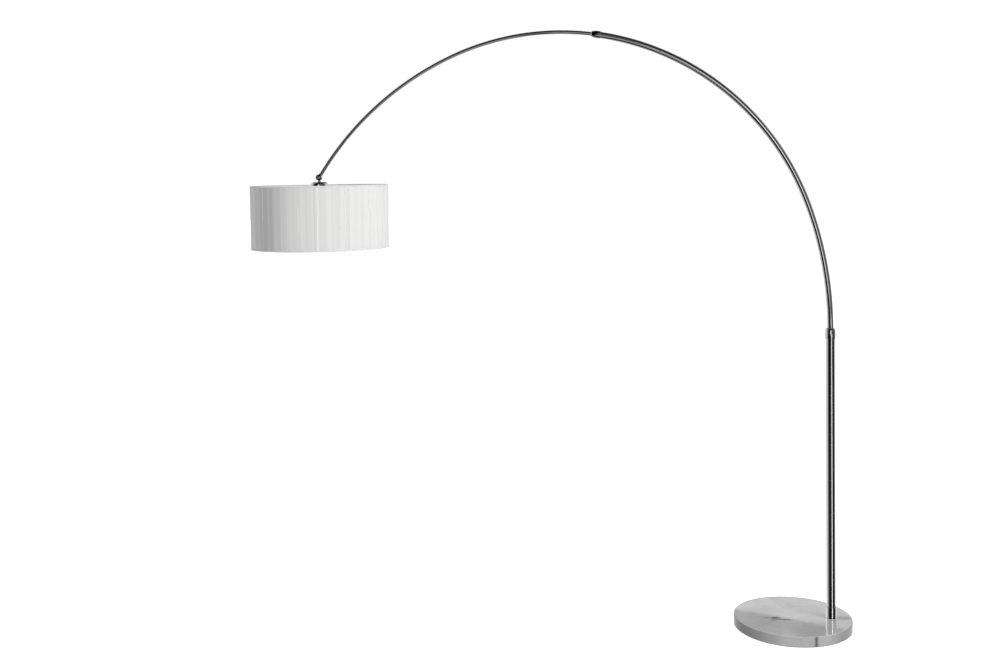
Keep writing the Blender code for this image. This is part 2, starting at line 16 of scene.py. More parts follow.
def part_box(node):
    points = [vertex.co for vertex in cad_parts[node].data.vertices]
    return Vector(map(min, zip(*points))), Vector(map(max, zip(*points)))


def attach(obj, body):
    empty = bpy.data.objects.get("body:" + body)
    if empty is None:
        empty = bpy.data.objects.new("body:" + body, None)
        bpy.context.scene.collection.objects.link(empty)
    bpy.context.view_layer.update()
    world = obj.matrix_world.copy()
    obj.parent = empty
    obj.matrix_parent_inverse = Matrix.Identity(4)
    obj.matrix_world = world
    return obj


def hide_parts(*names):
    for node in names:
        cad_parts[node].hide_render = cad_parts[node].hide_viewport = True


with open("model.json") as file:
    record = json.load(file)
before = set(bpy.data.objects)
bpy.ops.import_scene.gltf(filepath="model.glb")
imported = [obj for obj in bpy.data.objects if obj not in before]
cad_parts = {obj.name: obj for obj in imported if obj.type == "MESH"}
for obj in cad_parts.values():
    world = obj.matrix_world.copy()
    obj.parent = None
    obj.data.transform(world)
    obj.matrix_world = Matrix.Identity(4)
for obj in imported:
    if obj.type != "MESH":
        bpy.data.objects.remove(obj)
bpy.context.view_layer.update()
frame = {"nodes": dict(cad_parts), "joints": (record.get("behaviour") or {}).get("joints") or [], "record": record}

scene = bpy.context.scene
scene.view_settings.view_transform = "Standard"

# ---- places that the frame gives --------------------
JOINTS = {joint["name"]: joint for joint in frame["joints"]}
POST_AXIS = Vector((JOINTS["arm_swivel"]["pos_m"][0], 0, 0))
BEND_CENTRE = Vector(JOINTS["arm_extend"]["pos_m"])
PIVOT = Vector(JOINTS["shade_tilt"]["pos_m"])
SHADE_AXIS = Vector((PIVOT.x, 0, 0))
UP = Vector((0, 0, 1))


def span(node):
    """Lowest and highest z of a CAD node."""
    low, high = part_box(node)
    return low.z, high.z


def reach(node):
    """Radius of a CAD node that is turned about a vertical axis."""
    low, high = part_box(node)
    return (high.y - low.y) / 2


# ---- dimensions shared with the CAD --------------------
GAP = 0.0003
CORD_ENTRY_R = 0.0052
SCREW_HOLE_R = 0.0022
SCREW_FROM_STEP = 0.0035
ARM_R = 0.011
ARM_WALL = 0.0015
ROD_R = 0.0065
ROD_WALL = 0.001
POST_WALL = 0.002
LOW_BEND_R = 1.254
LOW_BEND_TURN = radians(20.16)
MAIN_BEND_R = 0.9174
MAIN_BEND_TURN = radians(93.3)
ARM_END = radians(80.5)
ROD_START = radians(50)
BEND_Z = 1.0435
CHANNEL_W = 0.009
CHANNEL_AZIMUTH = radians(35)
WRAP_T = 0.0012
LINER_T = 0.0006
TRIM_T = 0.0006
TRIM_H = 0.0055
WIRE_R = 0.002
PLATE_Z = 1.5287
SEAM_AZIMUTH = radians(-76)
SEAM_W = 0.0030


# ---- material building blocks --------------------
class Nodes:
    """Short names for making nodes in a tree. A value is a plain value or another node's output."""

    def __init__(self, tree):
        self.nodes = tree.nodes
        self.links = tree.links

    def feed(self, socket, value):
        if isinstance(value, bpy.types.NodeSocket):
            self.links.new(value, socket)
        elif socket.type == "RGBA" and len(value) == 3:
            socket.default_value = (*value, 1)
        else:
            socket.default_value = value

    def make(self, kind, inputs=(), **settings):
        """The outputs of a new node, with its inputs fed by name or number."""
        made = self.nodes.new("ShaderNode" + kind)
        for key, value in settings.items():
            setattr(made, key, value)
        for key, value in dict(inputs).items():
            self.feed(made.inputs[key], value)
        return made.outputs

    def maths(self, operation, first, *rest):
        """A Math node, or a chain of them for more than two values."""
        if not rest:
            return self.make("Math", {0: first}, operation=operation)[0]
        for value in rest:
            first = self.make("Math", {0: first, 1: value}, operation=operation)[0]
        return first

    def plus(self, *values):
        return self.maths("ADD", *values)

    def times(self, *values):
        return self.maths("MULTIPLY", *values)

    def most(self, *values):
        return self.maths("MAXIMUM", *values)

    def between(self, a, b):
        """The distance between two values."""
        return self.maths("ABSOLUTE", self.maths("SUBTRACT", a, b))

    def remap(self, value, low, high, to_low=0.0, to_high=1.0, kind="LINEAR"):
        ends = {"Value": value, "From Min": low, "From Max": high, "To Min": to_low,
                "To Max": to_high}
        return self.make("MapRange", ends, interpolation_type=kind)["Result"]

    def smooth(self, value, low, high, to_low=0.0, to_high=1.0):
        return self.remap(value, low, high, to_low, to_high, "SMOOTHSTEP")

    def ramp(self, value, stops):
        """A colour ramp through (position, colour or grey level) stops."""
        made = self.nodes.new("ShaderNodeValToRGB")
        self.feed(made.inputs["Fac"], value)
        elements = made.color_ramp.elements
        for _ in stops[2:]:
            elements.new(0.5)
        for element, (position, colour) in zip(elements, stops):
            element.position = position
            element.color = (*(colour if isinstance(colour, tuple) else [colour] * 3), 1)
        return made.outputs["Color"]


class Look(Nodes):
    """A Principled material and the nodes that feed it."""

    def __init__(self, name):
        self.material = bpy.data.materials.new(name)
        self.material.use_nodes = True
        super().__init__(self.material.node_tree)
        self.shader = self.nodes["Principled BSDF"]

    def set(self, **sockets):
        for name, value in sockets.items():
            self.feed(self.shader.inputs[name.replace("_", " ")], value)

    def place(self):
        return self.make("TexCoord")["Object"]

    def grain(self):
        """Place on the unrolled skin of a tube or turned piece: round in x and y, along in z."""
        return self.make("Attribute", attribute_name="grain")["Vector"]

    def stretch(self, vector, scale, offset=(0, 0, 0)):
        inputs = {"Vector": vector, "Scale": scale, "Location": offset}
        return self.make("Mapping", inputs)["Vector"]

    def noise(self, vector, scale, detail=3.0, roughness=0.5, distortion=0.0, output="Fac"):
        inputs = {"Vector": vector, "Scale": scale, "Detail": detail, "Roughness": roughness,
                  "Distortion": distortion}
        return self.make("TexNoise", inputs)[output]

    def parts(self, vector):
        return self.make("SeparateXYZ", {0: vector})

    def mix(self, share, a, b):
        """Colour a, with a share of colour b; 6, 7 and 2 are the Mix node's colour sockets."""
        return self.make("Mix", {0: share, 6: a, 7: b}, data_type="RGBA")[2]

    def bump(self, height, strength, distance):
        inputs = {"Height": height, "Strength": strength, "Distance": distance}
        return self.make("Bump", inputs)["Normal"]


def chrome(name, stretch):
    """Polished chrome. Its faint lines run along a drawn tube or round a turned collar."""
    look = Look(name)
    grain = look.grain()
    fine = look.noise(look.stretch(grain, stretch), 1.0, 2.0, 0.6)
    smear = look.noise(look.stretch(grain, (30, 30, 9)), 1.0, 4.0, 0.6, 0.4)
    streaked = look.mix(look.remap(fine, 0.35, 0.65, 0.0, 0.10),
                        (0.66, 0.66, 0.665), (0.52, 0.52, 0.53))
    colour = look.mix(look.remap(smear, 0.5, 0.8, 0.0, 0.25), streaked, (0.55, 0.55, 0.56))
    rough = look.plus(look.remap(smear, 0.35, 0.75, 0.015, 0.04),
                      look.remap(fine, 0.4, 0.8, 0.0, 0.015))
    look.set(Base_Color=colour, Metallic=1.0, Roughness=rough, Normal=look.bump(fine, 0.03, 0.0001))
    return look.material


def marble():
    """Polished white marble: clouds, soft and hair veins, one dark vein, a slightly darker sawn rim with painted
    shade at its ends and along the rear edge, and a painted highlight along the front edge.
    """
    look = Look("polished_marble")
    place = look.place()
    x, y, _ = look.parts(place)
    away = look.maths("SQRT", look.plus(look.times(x, x), look.times(y, y)))
    shift = look.noise(place, 7.0, 3.0, output="Color")
    shift = look.make("VectorMath", {0: shift, "Scale": 0.10}, operation="SCALE")[0]
    bent = look.make("VectorMath", {0: place, 1: shift}, operation="ADD")[0]
    clouds = look.noise(look.stretch(bent, (1, 1, 1), (0.37, 0.21, 0)), 9.0, 6.0, 0.62, 0.3)
    ground = look.ramp(clouds, [(0.30, (0.49, 0.49, 0.495)), (0.50, 0.56),
                                (0.68, (0.65, 0.65, 0.645))])
    # veins are thin bands where a slow noise crosses one level
    vein = look.between(look.noise(bent, 4.2, 5.0, 0.6, 0.5), 0.5)
    patchy = look.smooth(look.noise(place, 8.0, 2.0), 0.50, 0.70, 0.0, 0.22)
    soft = look.times(look.smooth(vein, 0.0, 0.035, 1.0, 0.0), patchy)
    veined = look.mix(soft, ground, (0.30, 0.30, 0.31))
    second = look.between(look.noise(bent, 11.0, 4.0, 0.6), 0.47)
    hair = look.times(look.remap(second, 0.0, 0.008, 0.35, 0.0), patchy)
    veined = look.mix(hair, veined, (0.26, 0.26, 0.27))
    # the sawn rim is a little darker; painted shade darkens its ends and a band along the rear edge of the top
    rim = look.mix(rim_and_painted_shade(look, x, y, away), veined, (0.10, 0.10, 0.105))
    dark = look.most(dark_vein(look, place, x, y), side_spot(look, place, x, y, away))
    stained = look.mix(dark, rim, (0.045, 0.045, 0.048))
    # painted highlight along the front edge of the slab
    lit_edge = look.mix(painted_front_highlight(look, y, away), stained, (0.80, 0.80, 0.80))
    grains = look.noise(place, 420.0, 3.0, 0.6)
    speck = look.mix(look.remap(grains, 0.55, 0.75, 0.0, 0.08), lit_edge, (0.62, 0.62, 0.62))
    polish = look.remap(look.noise(place, 30.0, 4.0), 0.35, 0.7, 0.018, 0.030)
    look.set(Base_Color=speck, Roughness=polish, IOR=1.54, Specular_IOR_Level=0.5,
             Normal=look.bump(look.noise(place, 900.0, 2.0), 0.008, 0.00002))
    return look.material


def rim_and_painted_shade(look, x, y, away):
    """How much darker the stone is: a little all round the sawn rim, and painted shade much darker at both ends of
    the rim and in a band along the rear edge of the top.
    """
    rim = look.smooth(away, 0.1984, 0.1994)
    ends = look.most(look.smooth(x, -0.195, -0.08, 0.85, 0.20),
                     look.smooth(x, 0.10, 0.195, 0.20, 0.85))
    painted_rear_shade = look.times(look.smooth(away, 0.1915, 0.1955), look.smooth(y, 0.10, 0.16, 0, 0.85))
    return look.most(look.times(rim, ends), painted_rear_shade)


def painted_front_highlight(look, y, away):
    """Painted highlight: a lighter band along the edge between top and rim, on the front only, for the light that
    the polished edge catches.
    """
    return look.times(look.smooth(away, 0.1972, 0.1978), look.smooth(away, 0.1984, 0.1990, 1, 0),
                      look.smooth(y, -0.12, -0.05, 0.70, 0))


# of the dark vein, the last of them a dark band from beside the post's foot out to the rim: x from, to, y of the
# middle, width, strength
VEIN_STROKES = [(-0.072, -0.046, -0.0300, 0.0185, 1.0), (-0.050, -0.006, -0.0400, 0.0110, 0.75),
                (-0.072, -0.056, -0.0520, 0.0120, 0.45), (-0.096, -0.074, -0.0290, 0.0100, 0.40),
                (0.150, 0.198, 0.0010, 0.0260, 0.45)]


def dark_vein(look, place, x, y):
    """The one strong vein in the top of the slab and a dark band right of the post's foot: ragged strokes that run
    in x and fade out.
    """
    ragged = look.noise(look.stretch(place, (60, 90, 10)), 1.0, 5.0, 0.7)
    across = look.plus(y, look.remap(ragged, 0.2, 0.8, -0.008, 0.008))
    strokes = []
    for start, end, middle, width, level in VEIN_STROKES:
        off = look.between(across, middle)
        strokes.append(look.times(look.smooth(x, start - 0.012, start + 0.010),
                                  look.smooth(x, end - 0.014, end + 0.012, 1, 0),
                                  look.smooth(off, width * 0.25, width, 1, 0), level))
    broken = look.remap(look.noise(place, 95.0, 4.0, 0.7), 0.32, 0.55, 0.70, 1.0)
    return look.times(look.most(*strokes), broken, 0.95)


def side_spot(look, place, x, y, away):
    """A dark mineral spot in the front of the rim."""
    across = look.plus(x, look.remap(look.noise(place, 110.0, 4.0, 0.7), 0.2, 0.8, -0.004, 0.004))
    return look.times(look.smooth(look.between(across, 0.060), 0.001, 0.008, 1, 0),
                      look.smooth(y, -0.150, -0.120, 1, 0), look.remap(away, 0.196, 0.1985), 0.75)


def thread():
    look = Look("white_thread")
    tone = look.make("Attribute", attribute_name="tone")["Fac"]
    fibre = look.noise(look.stretch(look.place(), (2600, 2600, 500)), 1.0, 3.0, 0.6)
    colour = look.ramp(tone, [(0.0, 0.60), (0.5, (0.79, 0.79, 0.785)), (1.0, (0.91, 0.91, 0.905))])
    flecked = look.mix(look.remap(fibre, 0.3, 0.7, 0.0, 0.10), colour, (0.62, 0.62, 0.61))
    look.set(Base_Color=flecked, Roughness=look.remap(fibre, 0.3, 0.7, 0.5, 0.72),
             Normal=look.bump(fibre, 0.25, 0.0001), Sheen_Weight=0.15, Sheen_Roughness=0.4)
    return look.material


def tape(name, dull, clean):
    """Woven binding tape: a fine twill from two crossed waves."""
    look = Look(name)
    x, y, z = look.parts(look.grain())
    warp = look.plus(look.times(look.maths("ARCTAN2", y, x), 1300.0), look.times(z, 5200.0))
    weft = look.maths("SINE", look.times(z, 9000.0))
    weave = look.plus(look.times(look.plus(look.maths("SINE", warp), weft), 0.25), 0.5)
    uneven = look.noise(look.place(), 60.0, 4.0)
    colour = look.ramp(look.plus(look.times(weave, 0.35), look.times(uneven, 0.65)),
                       [(0.25, (dull, dull, dull - 0.005)), (0.75, (clean, clean, clean - 0.01))])
    look.set(Base_Color=colour, Roughness=look.remap(uneven, 0.3, 0.7, 0.6, 0.8),
             Normal=look.bump(weave, 0.5, 0.00015))
    return look.material


def coated(name, low, high, rough, skin, strength, patches=(55.0, 4.0), depth=0.0001, **more):
    """Paint, plastic, rubber or glass: slow changes of tone and gloss over a fine skin."""
    look = Look(name)
    place = look.place()
    patch = look.noise(place, *patches)
    look.set(Base_Color=look.ramp(patch, [(0.3, low), (0.7, high)]),
             Roughness=look.remap(patch, 0.3, 0.7, *rough),
             Normal=look.bump(look.noise(place, *skin), strength, depth), **more)
    return look.material


def metal(name, base, worn, roughness, scale):
    """Plated or turned metal with tool marks and dull patches."""
    look = Look(name)
    place = look.place()
    marks = look.noise(look.stretch(place, (scale, scale, scale * 9)), 1.0, 3.0, 0.6)
    patch = look.noise(place, 120.0, 5.0, 0.6)
    rough = look.plus(look.remap(patch, 0.3, 0.7, roughness + 0.1, roughness),
                      look.remap(marks, 0.3, 0.7, -0.05, 0.05))
    look.set(Base_Color=look.ramp(patch, [(0.32, worn), (0.62, base)]), Metallic=1.0,
             Roughness=rough, Normal=look.bump(marks, 0.10, 0.0001))
    return look.material


def felt():
    look = Look("pressed_felt")
    place = look.place()
    hair = look.noise(look.stretch(place, (900, 900, 900)), 1.0, 5.0, 0.75, 1.5)
    level = look.plus(look.times(hair, 0.7), look.times(look.noise(place, 40.0, 3.0), 0.3))
    look.set(Base_Color=look.ramp(level, [(0.35, (0.025, 0.025, 0.026)), (0.7, 0.10)]),
             Roughness=look.remap(hair, 0.3, 0.7, 0.88, 0.98),
             Normal=look.bump(hair, 0.8, 0.0004), Sheen_Weight=0.3)
    return look.material


CHROME_TUBE = chrome("chrome_drawn", (2200, 2200, 6))
CHROME_TURNED = chrome("chrome_turned", (60, 60, 5200))
MARBLE = marble()
THREAD = thread()
SEAM_TAPE = tape("white_tape", 0.88, 0.97)
BINDING_TAPE = tape("white_binding", 0.72, 0.81)
# the white laminate liner is painted mid grey, as painted shade inside the shade
LINER_WITH_PAINTED_SHADE = coated("white_laminate", (0.33, 0.33, 0.325), (0.40, 0.40, 0.395), (0.38, 0.52),
                  (1500.0, 2.0), 0.12, patches=(45.0, 5.0, 0.6), depth=0.00008)
FELT = felt()
OPAL = coated("opal_glass", (0.88, 0.88, 0.86), (0.94, 0.94, 0.92), (0.18, 0.26),
              (700.0, 2.0), 0.02, patches=(90.0, 3.0), Subsurface_Weight=0.35,
              Subsurface_Radius=(0.004, 0.004, 0.004), Coat_Weight=0.3, Coat_Roughness=0.05)
WIRE = coated("white_powder_coat", (0.76, 0.76, 0.75), (0.82, 0.82, 0.81), (0.32, 0.44),
              (1800.0, 2.0), 0.15, patches=(70.0, 4.0))
ZINC = metal("zinc_plate", (0.60, 0.61, 0.62), (0.44, 0.45, 0.46), 0.30, 700)
BRASS = metal("bright_brass", (0.72, 0.56, 0.27), (0.52, 0.38, 0.17), 0.26, 800)
NYLON = coated("white_nylon", (0.76, 0.75, 0.71), (0.82, 0.81, 0.77), (0.42, 0.54),
               (900.0, 3.0, 0.6), 0.12)
RUBBER = coated("black_rubber", 0.022, 0.042, (0.72, 0.84), (1300.0, 3.0, 0.6), 0.35)
BLACK = coated("black_phenolic", 0.016, 0.026, (0.26, 0.38), (1600.0, 3.0, 0.6), 0.08)
PORCELAIN = coated("glazed_porcelain", (0.84, 0.83, 0.80), (0.88, 0.87, 0.84), (0.14, 0.26),
                   (260.0, 3.0, 0.6), 0.06)

SLOT_MATERIAL = {"zinc": ZINC, "brass": BRASS, "nylon": NYLON, "black_rubber": RUBBER,
                 "black_plastic": BLACK, "porcelain": PORCELAIN, "felt": FELT, "marble": MARBLE}


# ---- mesh building blocks --------------------
def add_object(name, data):
    obj = bpy.data.objects.new(name, data)
    scene.collection.objects.link(obj)
    return obj


def to_mesh(name, bm):
    mesh = bpy.data.meshes.new(name)
    bm.to_mesh(mesh)
    bm.free()
    return mesh


def piece(name, bm, *role, sharp=40):
    """A finished piece from a bmesh; its role is its material, slot, body and replaced nodes; the slot is not
    used.
    """
    bmesh.ops.recalc_face_normals(bm, faces=bm.faces)
    dress(name, to_mesh(name, bm), *role, sharp=sharp)


def dress(name, mesh, material, slot, body, *nodes, sharp=40):
    """Put a mesh on its body, smooth but for the corners sharper than an angle in degrees."""
    obj = add_object(name, mesh)
    mesh.materials.clear()
    mesh.materials.append(material)
    mesh.shade_smooth()
    if sharp < 180:
        mesh.set_sharp_from_angle(angle=radians(sharp))
    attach(obj, body)
    if nodes:
        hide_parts(*nodes)
    return obj


def bar(r, low, high):
    """Profile of a plain bar, from the axis out to r."""
    return [(0, high), (r, high), (r, low), (0, low)]


def sleeve(r, bore, low, high):
    """Closed profile of a plain sleeve."""
    return [(r, high), (r, low), (bore, low), (bore, high)]


def round_corner(start, here, end, steps):
    """Points of a curve from start to end that leaves the corner here outside."""
    return [start * (1 - t) ** 2 + here * 2 * t * (1 - t) + end * t ** 2
            for t in (k / steps for k in range(steps + 1))]


def fillet(points, radius, closed=False, steps=4):
    """Round the corners of a profile of (r, z) points; a point beside each keeps its flats flat."""
    rounded = []
    count = len(points)
    for i, point in enumerate(points):
        if not closed and i in (0, count - 1):
            rounded.append(Vector(point))
            continue
        here = Vector(point)
        back = Vector(points[i - 1]) - here
        ahead = Vector(points[(i + 1) % count]) - here
        half = back.angle(ahead) / 2
        reach_back = min(radius / max(tan(half), 0.05), back.length * 0.45, ahead.length * 0.45)
        if half > radians(82) or reach_back < 1e-6:
            rounded.append(here)
            continue
        start = here + back.normalized() * reach_back
        end = here + ahead.normalized() * reach_back
        beside = reach_back * 1.25
        if back.length > 3 * beside:
            rounded.append(here + back.normalized() * beside)
        rounded += round_corner(start, here, end, steps)
        if ahead.length > 3 * beside:
            rounded.append(here + ahead.normalized() * beside)
    return [(p[0], p[1]) for p in rounded]


def skin_over(bm, rings, closed=False, capped=False):
    """Faces between each ring of points and the next; a ring of one point is a pole."""
    for a, b in zip(rings, rings[1:] + rings[:1] if closed else rings[1:]):
        count = max(len(a), len(b))
        for i in range(count):
            j = (i + 1) % count
            corners = (a[i % len(a)], a[j % len(a)], b[j % len(b)], b[i % len(b)])
            corners = tuple(dict.fromkeys(corners))
            if len(corners) > 2:
                bm.faces.new(corners)
    if capped:
        bm.faces.new(rings[0])
        bm.faces.new(rings[-1])


def lathe(profile, base, axis=UP, steps=96, closed=False, wobble=None):
    """A profile turned about an axis, as a bmesh with each point's place on its skin."""
    bm = bmesh.new()
    layer = bm.verts.layers.float_vector.new("grain")
    spin = UP.rotation_difference(Vector(axis)).to_matrix()
    rings = []
    run = 0.0
    before = profile[0]
    for r, z in profile:
        run += sqrt((r - before[0]) ** 2 + (z - before[1]) ** 2)
        before = (r, z)
        ring = []
        for i in range(steps if r > 0 else 1):
            a = 2 * pi * i / steps
            rr = r + (wobble(a, z) if wobble else 0)
            vert = bm.verts.new(Vector(base) + spin @ Vector((rr * cos(a), rr * sin(a), z)))
            vert[layer] = (r * cos(a), r * sin(a), run)
            ring.append(vert)
        rings.append(ring)
    skin_over(bm, rings, closed)
    return bm


def turned(name, profile, base, *role, steps=96, round_off=0.0, sharp=40):
    """A finished piece: a closed profile turned about a vertical axis."""
    if round_off:
        profile = fillet(profile, round_off, True)
    piece(name, lathe(profile, base, steps=steps, closed=True), *role, sharp=sharp)


def spun(profile, base, axis=UP, steps=96, closed=False):
    """A turned helper object."""
    return helper(lathe(profile, base, axis, steps, closed))


def heading_way(heading):
    """Unit vector that leans from vertical towards -X by heading."""
    return Vector((-sin(heading), 0, cos(heading)))


def ring_round(bm, layer, place, first, second, radius, sides, along, tone=None):
    """Points round a place on a tube's line, in the plane of two directions."""
    ring = []
    for i in range(sides):
        a = 2 * pi * i / sides
        vert = bm.verts.new(place + first * radius * cos(a) + second * radius * sin(a))
        vert[layer] = (radius * cos(a), radius * sin(a), along) if tone is None else tone
        ring.append(vert)
    return ring


def lay_tube(name, line, outer, wall, sides, *role):
    """An open tube along (place, heading) steps, with its lips rounded over."""
    bm = bmesh.new()
    layer = bm.verts.layers.float_vector.new("grain")
    lip = wall * 0.4
    lips = [(lip * (1 - cos(pi / 2 * k / 3)), lip * (1 - sin(pi / 2 * k / 3))) for k in range(4)]
    runs = [0.0]
    for (a, _), (b, _) in zip(line, line[1:]):
        runs.append(runs[-1] + (b - a).length)
    spots = []
    for inset, drop in lips:
        spots.append((line[0][0] + heading_way(line[0][1]) * drop, line[0][1],
                      outer - (lip - inset), 0.0))
    spots += [(place, heading, outer, run) for (place, heading), run in zip(line[1:-1], runs[1:-1])]
    for inset, drop in reversed(lips):
        spots.append((line[-1][0] - heading_way(line[-1][1]) * drop, line[-1][1],
                      outer - (lip - inset), runs[-1]))
    spots += [(place, heading, outer - wall, run)
              for (place, heading), run in reversed(list(zip(line, runs)))]
    rings = []
    for place, heading, radius, run in spots:
        outward = Vector((cos(heading), 0, sin(heading)))
        rings.append(ring_round(bm, layer, place, outward, Vector((0, 1, 0)), radius, sides, run))
    skin_over(bm, rings, closed=True)
    piece(name, bm, *role)


def on_bend(centre, radius, heading):
    return centre + Vector((radius * cos(heading), 0, radius * sin(heading)))


def bend_line(centre, radius, start, end):
    """(place, heading) steps of a degree along a bend about centre, from heading start to end."""
    count = max(2, round(degrees(end - start)))
    headings = [start + (end - start) * i / count for i in range(count + 1)]
    return [(on_bend(centre, radius, heading), heading) for heading in headings]


def boolean(obj, tool, operation="DIFFERENCE"):
    """Apply a Boolean between two helper objects and drop the tool."""
    modifier = obj.modifiers.new("boolean", "BOOLEAN")
    modifier.operation = operation
    modifier.solver = "EXACT"
    modifier.object = tool
    bpy.context.view_layer.update()
    evaluated = obj.evaluated_get(bpy.context.evaluated_depsgraph_get())
    mesh = bpy.data.meshes.new_from_object(evaluated)
    obj.modifiers.clear()
    obj.data = mesh
    bpy.data.objects.remove(tool, do_unlink=True)
    return obj


def helper(bm):
    """A bmesh as a plain object, for Boolean work."""
    bmesh.ops.recalc_face_normals(bm, faces=bm.faces)
    return add_object("helper", to_mesh("helper", bm))


def box_helper(size, matrix, bevel=0.0):
    bm = bmesh.new()
    bmesh.ops.create_cube(bm, size=1, matrix=Matrix.Diagonal((*size, 1)))
    if bevel:
        bmesh.ops.bevel(bm, geom=bm.edges[:], offset=bevel, segments=3, affect="EDGES")
    bmesh.ops.transform(bm, matrix=matrix, verts=bm.verts)
    return helper(bm)


def finish(name, made, *role, sharp=35):
    """Dress a helper object's mesh, without the double points that a Boolean can leave."""
    mesh = made.data
    bpy.data.objects.remove(made, do_unlink=True)
    bm = bmesh.new()
    bm.from_mesh(mesh)
    bmesh.ops.remove_doubles(bm, verts=bm.verts, dist=1e-7)
    bm.to_mesh(mesh)
    bm.free()
    return dress(name, mesh, *role, sharp=sharp)


def dome(base_r, top_r, low, high, count=10):
    """A quarter-ellipse edge from the top of a dome down to its side."""
    quarter = [pi / 2 * i / count for i in range(count + 1)]
    return [(top_r + (base_r - top_r) * sin(a), low + (high - low) * cos(a)) for a in quarter]


# ---- foot --------------------
def make_marble():
    low, high = span("marble_base")
    r = reach("marble_base")
    slab = spun(fillet(bar(r, low, high), 0.003, steps=6), (0, 0, 0), steps=256)
    recess_r, stud_hole_r = 0.030, 0.0085
    roof = low + 0.014
    above, below = high + 0.010, low - 0.001
    stepped = [(0, above), (stud_hole_r, above), (stud_hole_r, roof), (recess_r, roof),
               (recess_r, below), (0, below)]
    boolean(slab, spun(stepped, POST_AXIS, steps=64))
    away = Vector((cos(CHANNEL_AZIMUTH), sin(CHANNEL_AZIMUTH), 0))
    length = 0.110
    middle = POST_AXIS + away * (length / 2 + 0.020) + UP * (low + CHANNEL_W / 2 - 0.0005)
    place = Matrix.Translation(middle) @ Matrix.Rotation(CHANNEL_AZIMUTH, 4, "Z")
    boolean(slab, box_helper((length, CHANNEL_W, CHANNEL_W + 0.001), place))
    slab = finish("marble_slab", slab, MARBLE, "marble", "stand", "marble_base", sharp=30)
    low, high = span("base_felt")
    pad = spun(fillet(bar(reach("base_felt"), low, high), 0.0005), (0, 0, 0), steps=192)
    boolean(pad, spun(bar(recess_r + 0.002, -0.001, 0.005), POST_AXIS, steps=64))
    pad = finish("felt_pad", pad, FELT, "felt", "stand", "base_felt", sharp=30)
    # the post keeps its clean studio reflections down to the foot
    slab.visible_glossy = False
    pad.visible_glossy = False


def make_post():
    low, high = span("post_tube")
    r = reach("post_tube")
    profile = sleeve(r, r - POST_WALL, low, high)
    turned("post_outer_tube", profile, POST_AXIS, CHROME_TUBE, "chrome", "stand", "post_tube",
           round_off=0.0004)
    low, high = span("foot_collar")
    collar_r = reach("foot_collar")
    bore = r + GAP
    profile = sleeve(collar_r, bore, low, high)
    turned("post_foot_collar", profile, POST_AXIS, CHROME_TURNED, "chrome", "stand",
           "foot_collar", round_off=0.0011)
    low, high = span("post_top_collar")
    step = span("post_tube")[1] + GAP
    arm_bore = ARM_R + 0.0005
    profile = dome(collar_r, 0.0125, high - 0.010, high)
    profile += [(collar_r, low), (bore, low), (bore, step), (arm_bore, step), (arm_bore, high)]
    collar = spun(fillet(profile, 0.0005, True, 3), POST_AXIS, closed=True)
    boolean(collar, drill(Vector((POST_AXIS.x, 0, step + SCREW_FROM_STEP)), 0.03))
    finish("post_mouth_collar", collar, CHROME_TURNED, "chrome", "stand", "post_top_collar")


def drill(place, length):
    """A cutter for a clamp screw's hole that runs from place towards +Y."""
    return spun(bar(SCREW_HOLE_R, 0, length), place, (0, 1, 0), 32)


# ---- arm --------------------
LOW_CENTRE = Vector((POST_AXIS.x - LOW_BEND_R, 0, BEND_Z))
MAIN_START = LOW_BEND_TURN
MAIN_END = MAIN_START + MAIN_BEND_TURN


def make_arm():
    low = span("arm_tube")[0]
    line = [(POST_AXIS + UP * low, 0.0), (POST_AXIS + UP * (low + 0.02), 0.0)]
    line += bend_line(LOW_CENTRE, LOW_BEND_R, 0, MAIN_START)
    line += bend_line(BEND_CENTRE, MAIN_BEND_R, MAIN_START, ARM_END)[1:]
    lay_tube("arm_bent_tube", line, ARM_R, ARM_WALL, 48, CHROME_TUBE, "chrome", "arm", "arm_tube")


def make_arm_collar():
    half = 0.0165
    rod_bore = ROD_R + 0.0009
    arm_bore = ARM_R + 0.0004
    profile = [(0.0082, half), (0.0102, half - 0.003), (0.0130, 0.002), (0.0130, -half),
               (arm_bore, -half), (arm_bore, GAP), (rod_bore, GAP), (rod_bore, half)]
    place = on_bend(BEND_CENTRE, MAIN_BEND_R, ARM_END)
    ahead = heading_way(ARM_END)
    collar = spun(fillet(profile, 0.0006, True, 3), place, ahead, closed=True)
    boolean(collar, drill(place + ahead * SCREW_FROM_STEP, 0.02))
    finish("arm_mouth_collar", collar, CHROME_TURNED, "chrome", "arm", "arm_end_collar")


# ---- rod and knuckle --------------------
SHOULDER_TO = 0.017
TIP_START = on_bend(BEND_CENTRE, MAIN_BEND_R, MAIN_END)
TO_PIVOT = PIVOT - TIP_START
TIP_TURN = 2 * (atan2(-TO_PIVOT.z, -TO_PIVOT.x) - (MAIN_END - pi / 2))
TIP_BEND_R = TO_PIVOT.length / 2 / sin(TIP_TURN / 2)
TIP_CENTRE = on_bend(TIP_START, -TIP_BEND_R, MAIN_END)
ROD_END = MAIN_END + TIP_TURN - 2 * asin((SHOULDER_TO + GAP) / 2 / TIP_BEND_R)


def make_rod():
    line = bend_line(BEND_CENTRE, MAIN_BEND_R, ROD_START, MAIN_END)
    line += bend_line(TIP_CENTRE, TIP_BEND_R, MAIN_END, ROD_END)[1:]
    lay_tube("arm_inner_rod", line, ROD_R, ROD_WALL, 40, CHROME_TUBE, "chrome", "rod", "rod_tube")


CHEEK_R = 0.011
CHEEK_Y = 0.008
CHEEK_INNER_Y = 0.0006
PIN_R = 0.0028


def cheek(low_y, high_y):
    """A round cheek of the knuckle, bored for its pin."""
    disc = spun(fillet(bar(CHEEK_R, low_y, high_y), 0.0011), PIVOT, (0, 1, 0), 72)
    return boolean(disc, spun(bar(PIN_R, -0.012, 0.012), PIVOT, (0, 1, 0), 32))


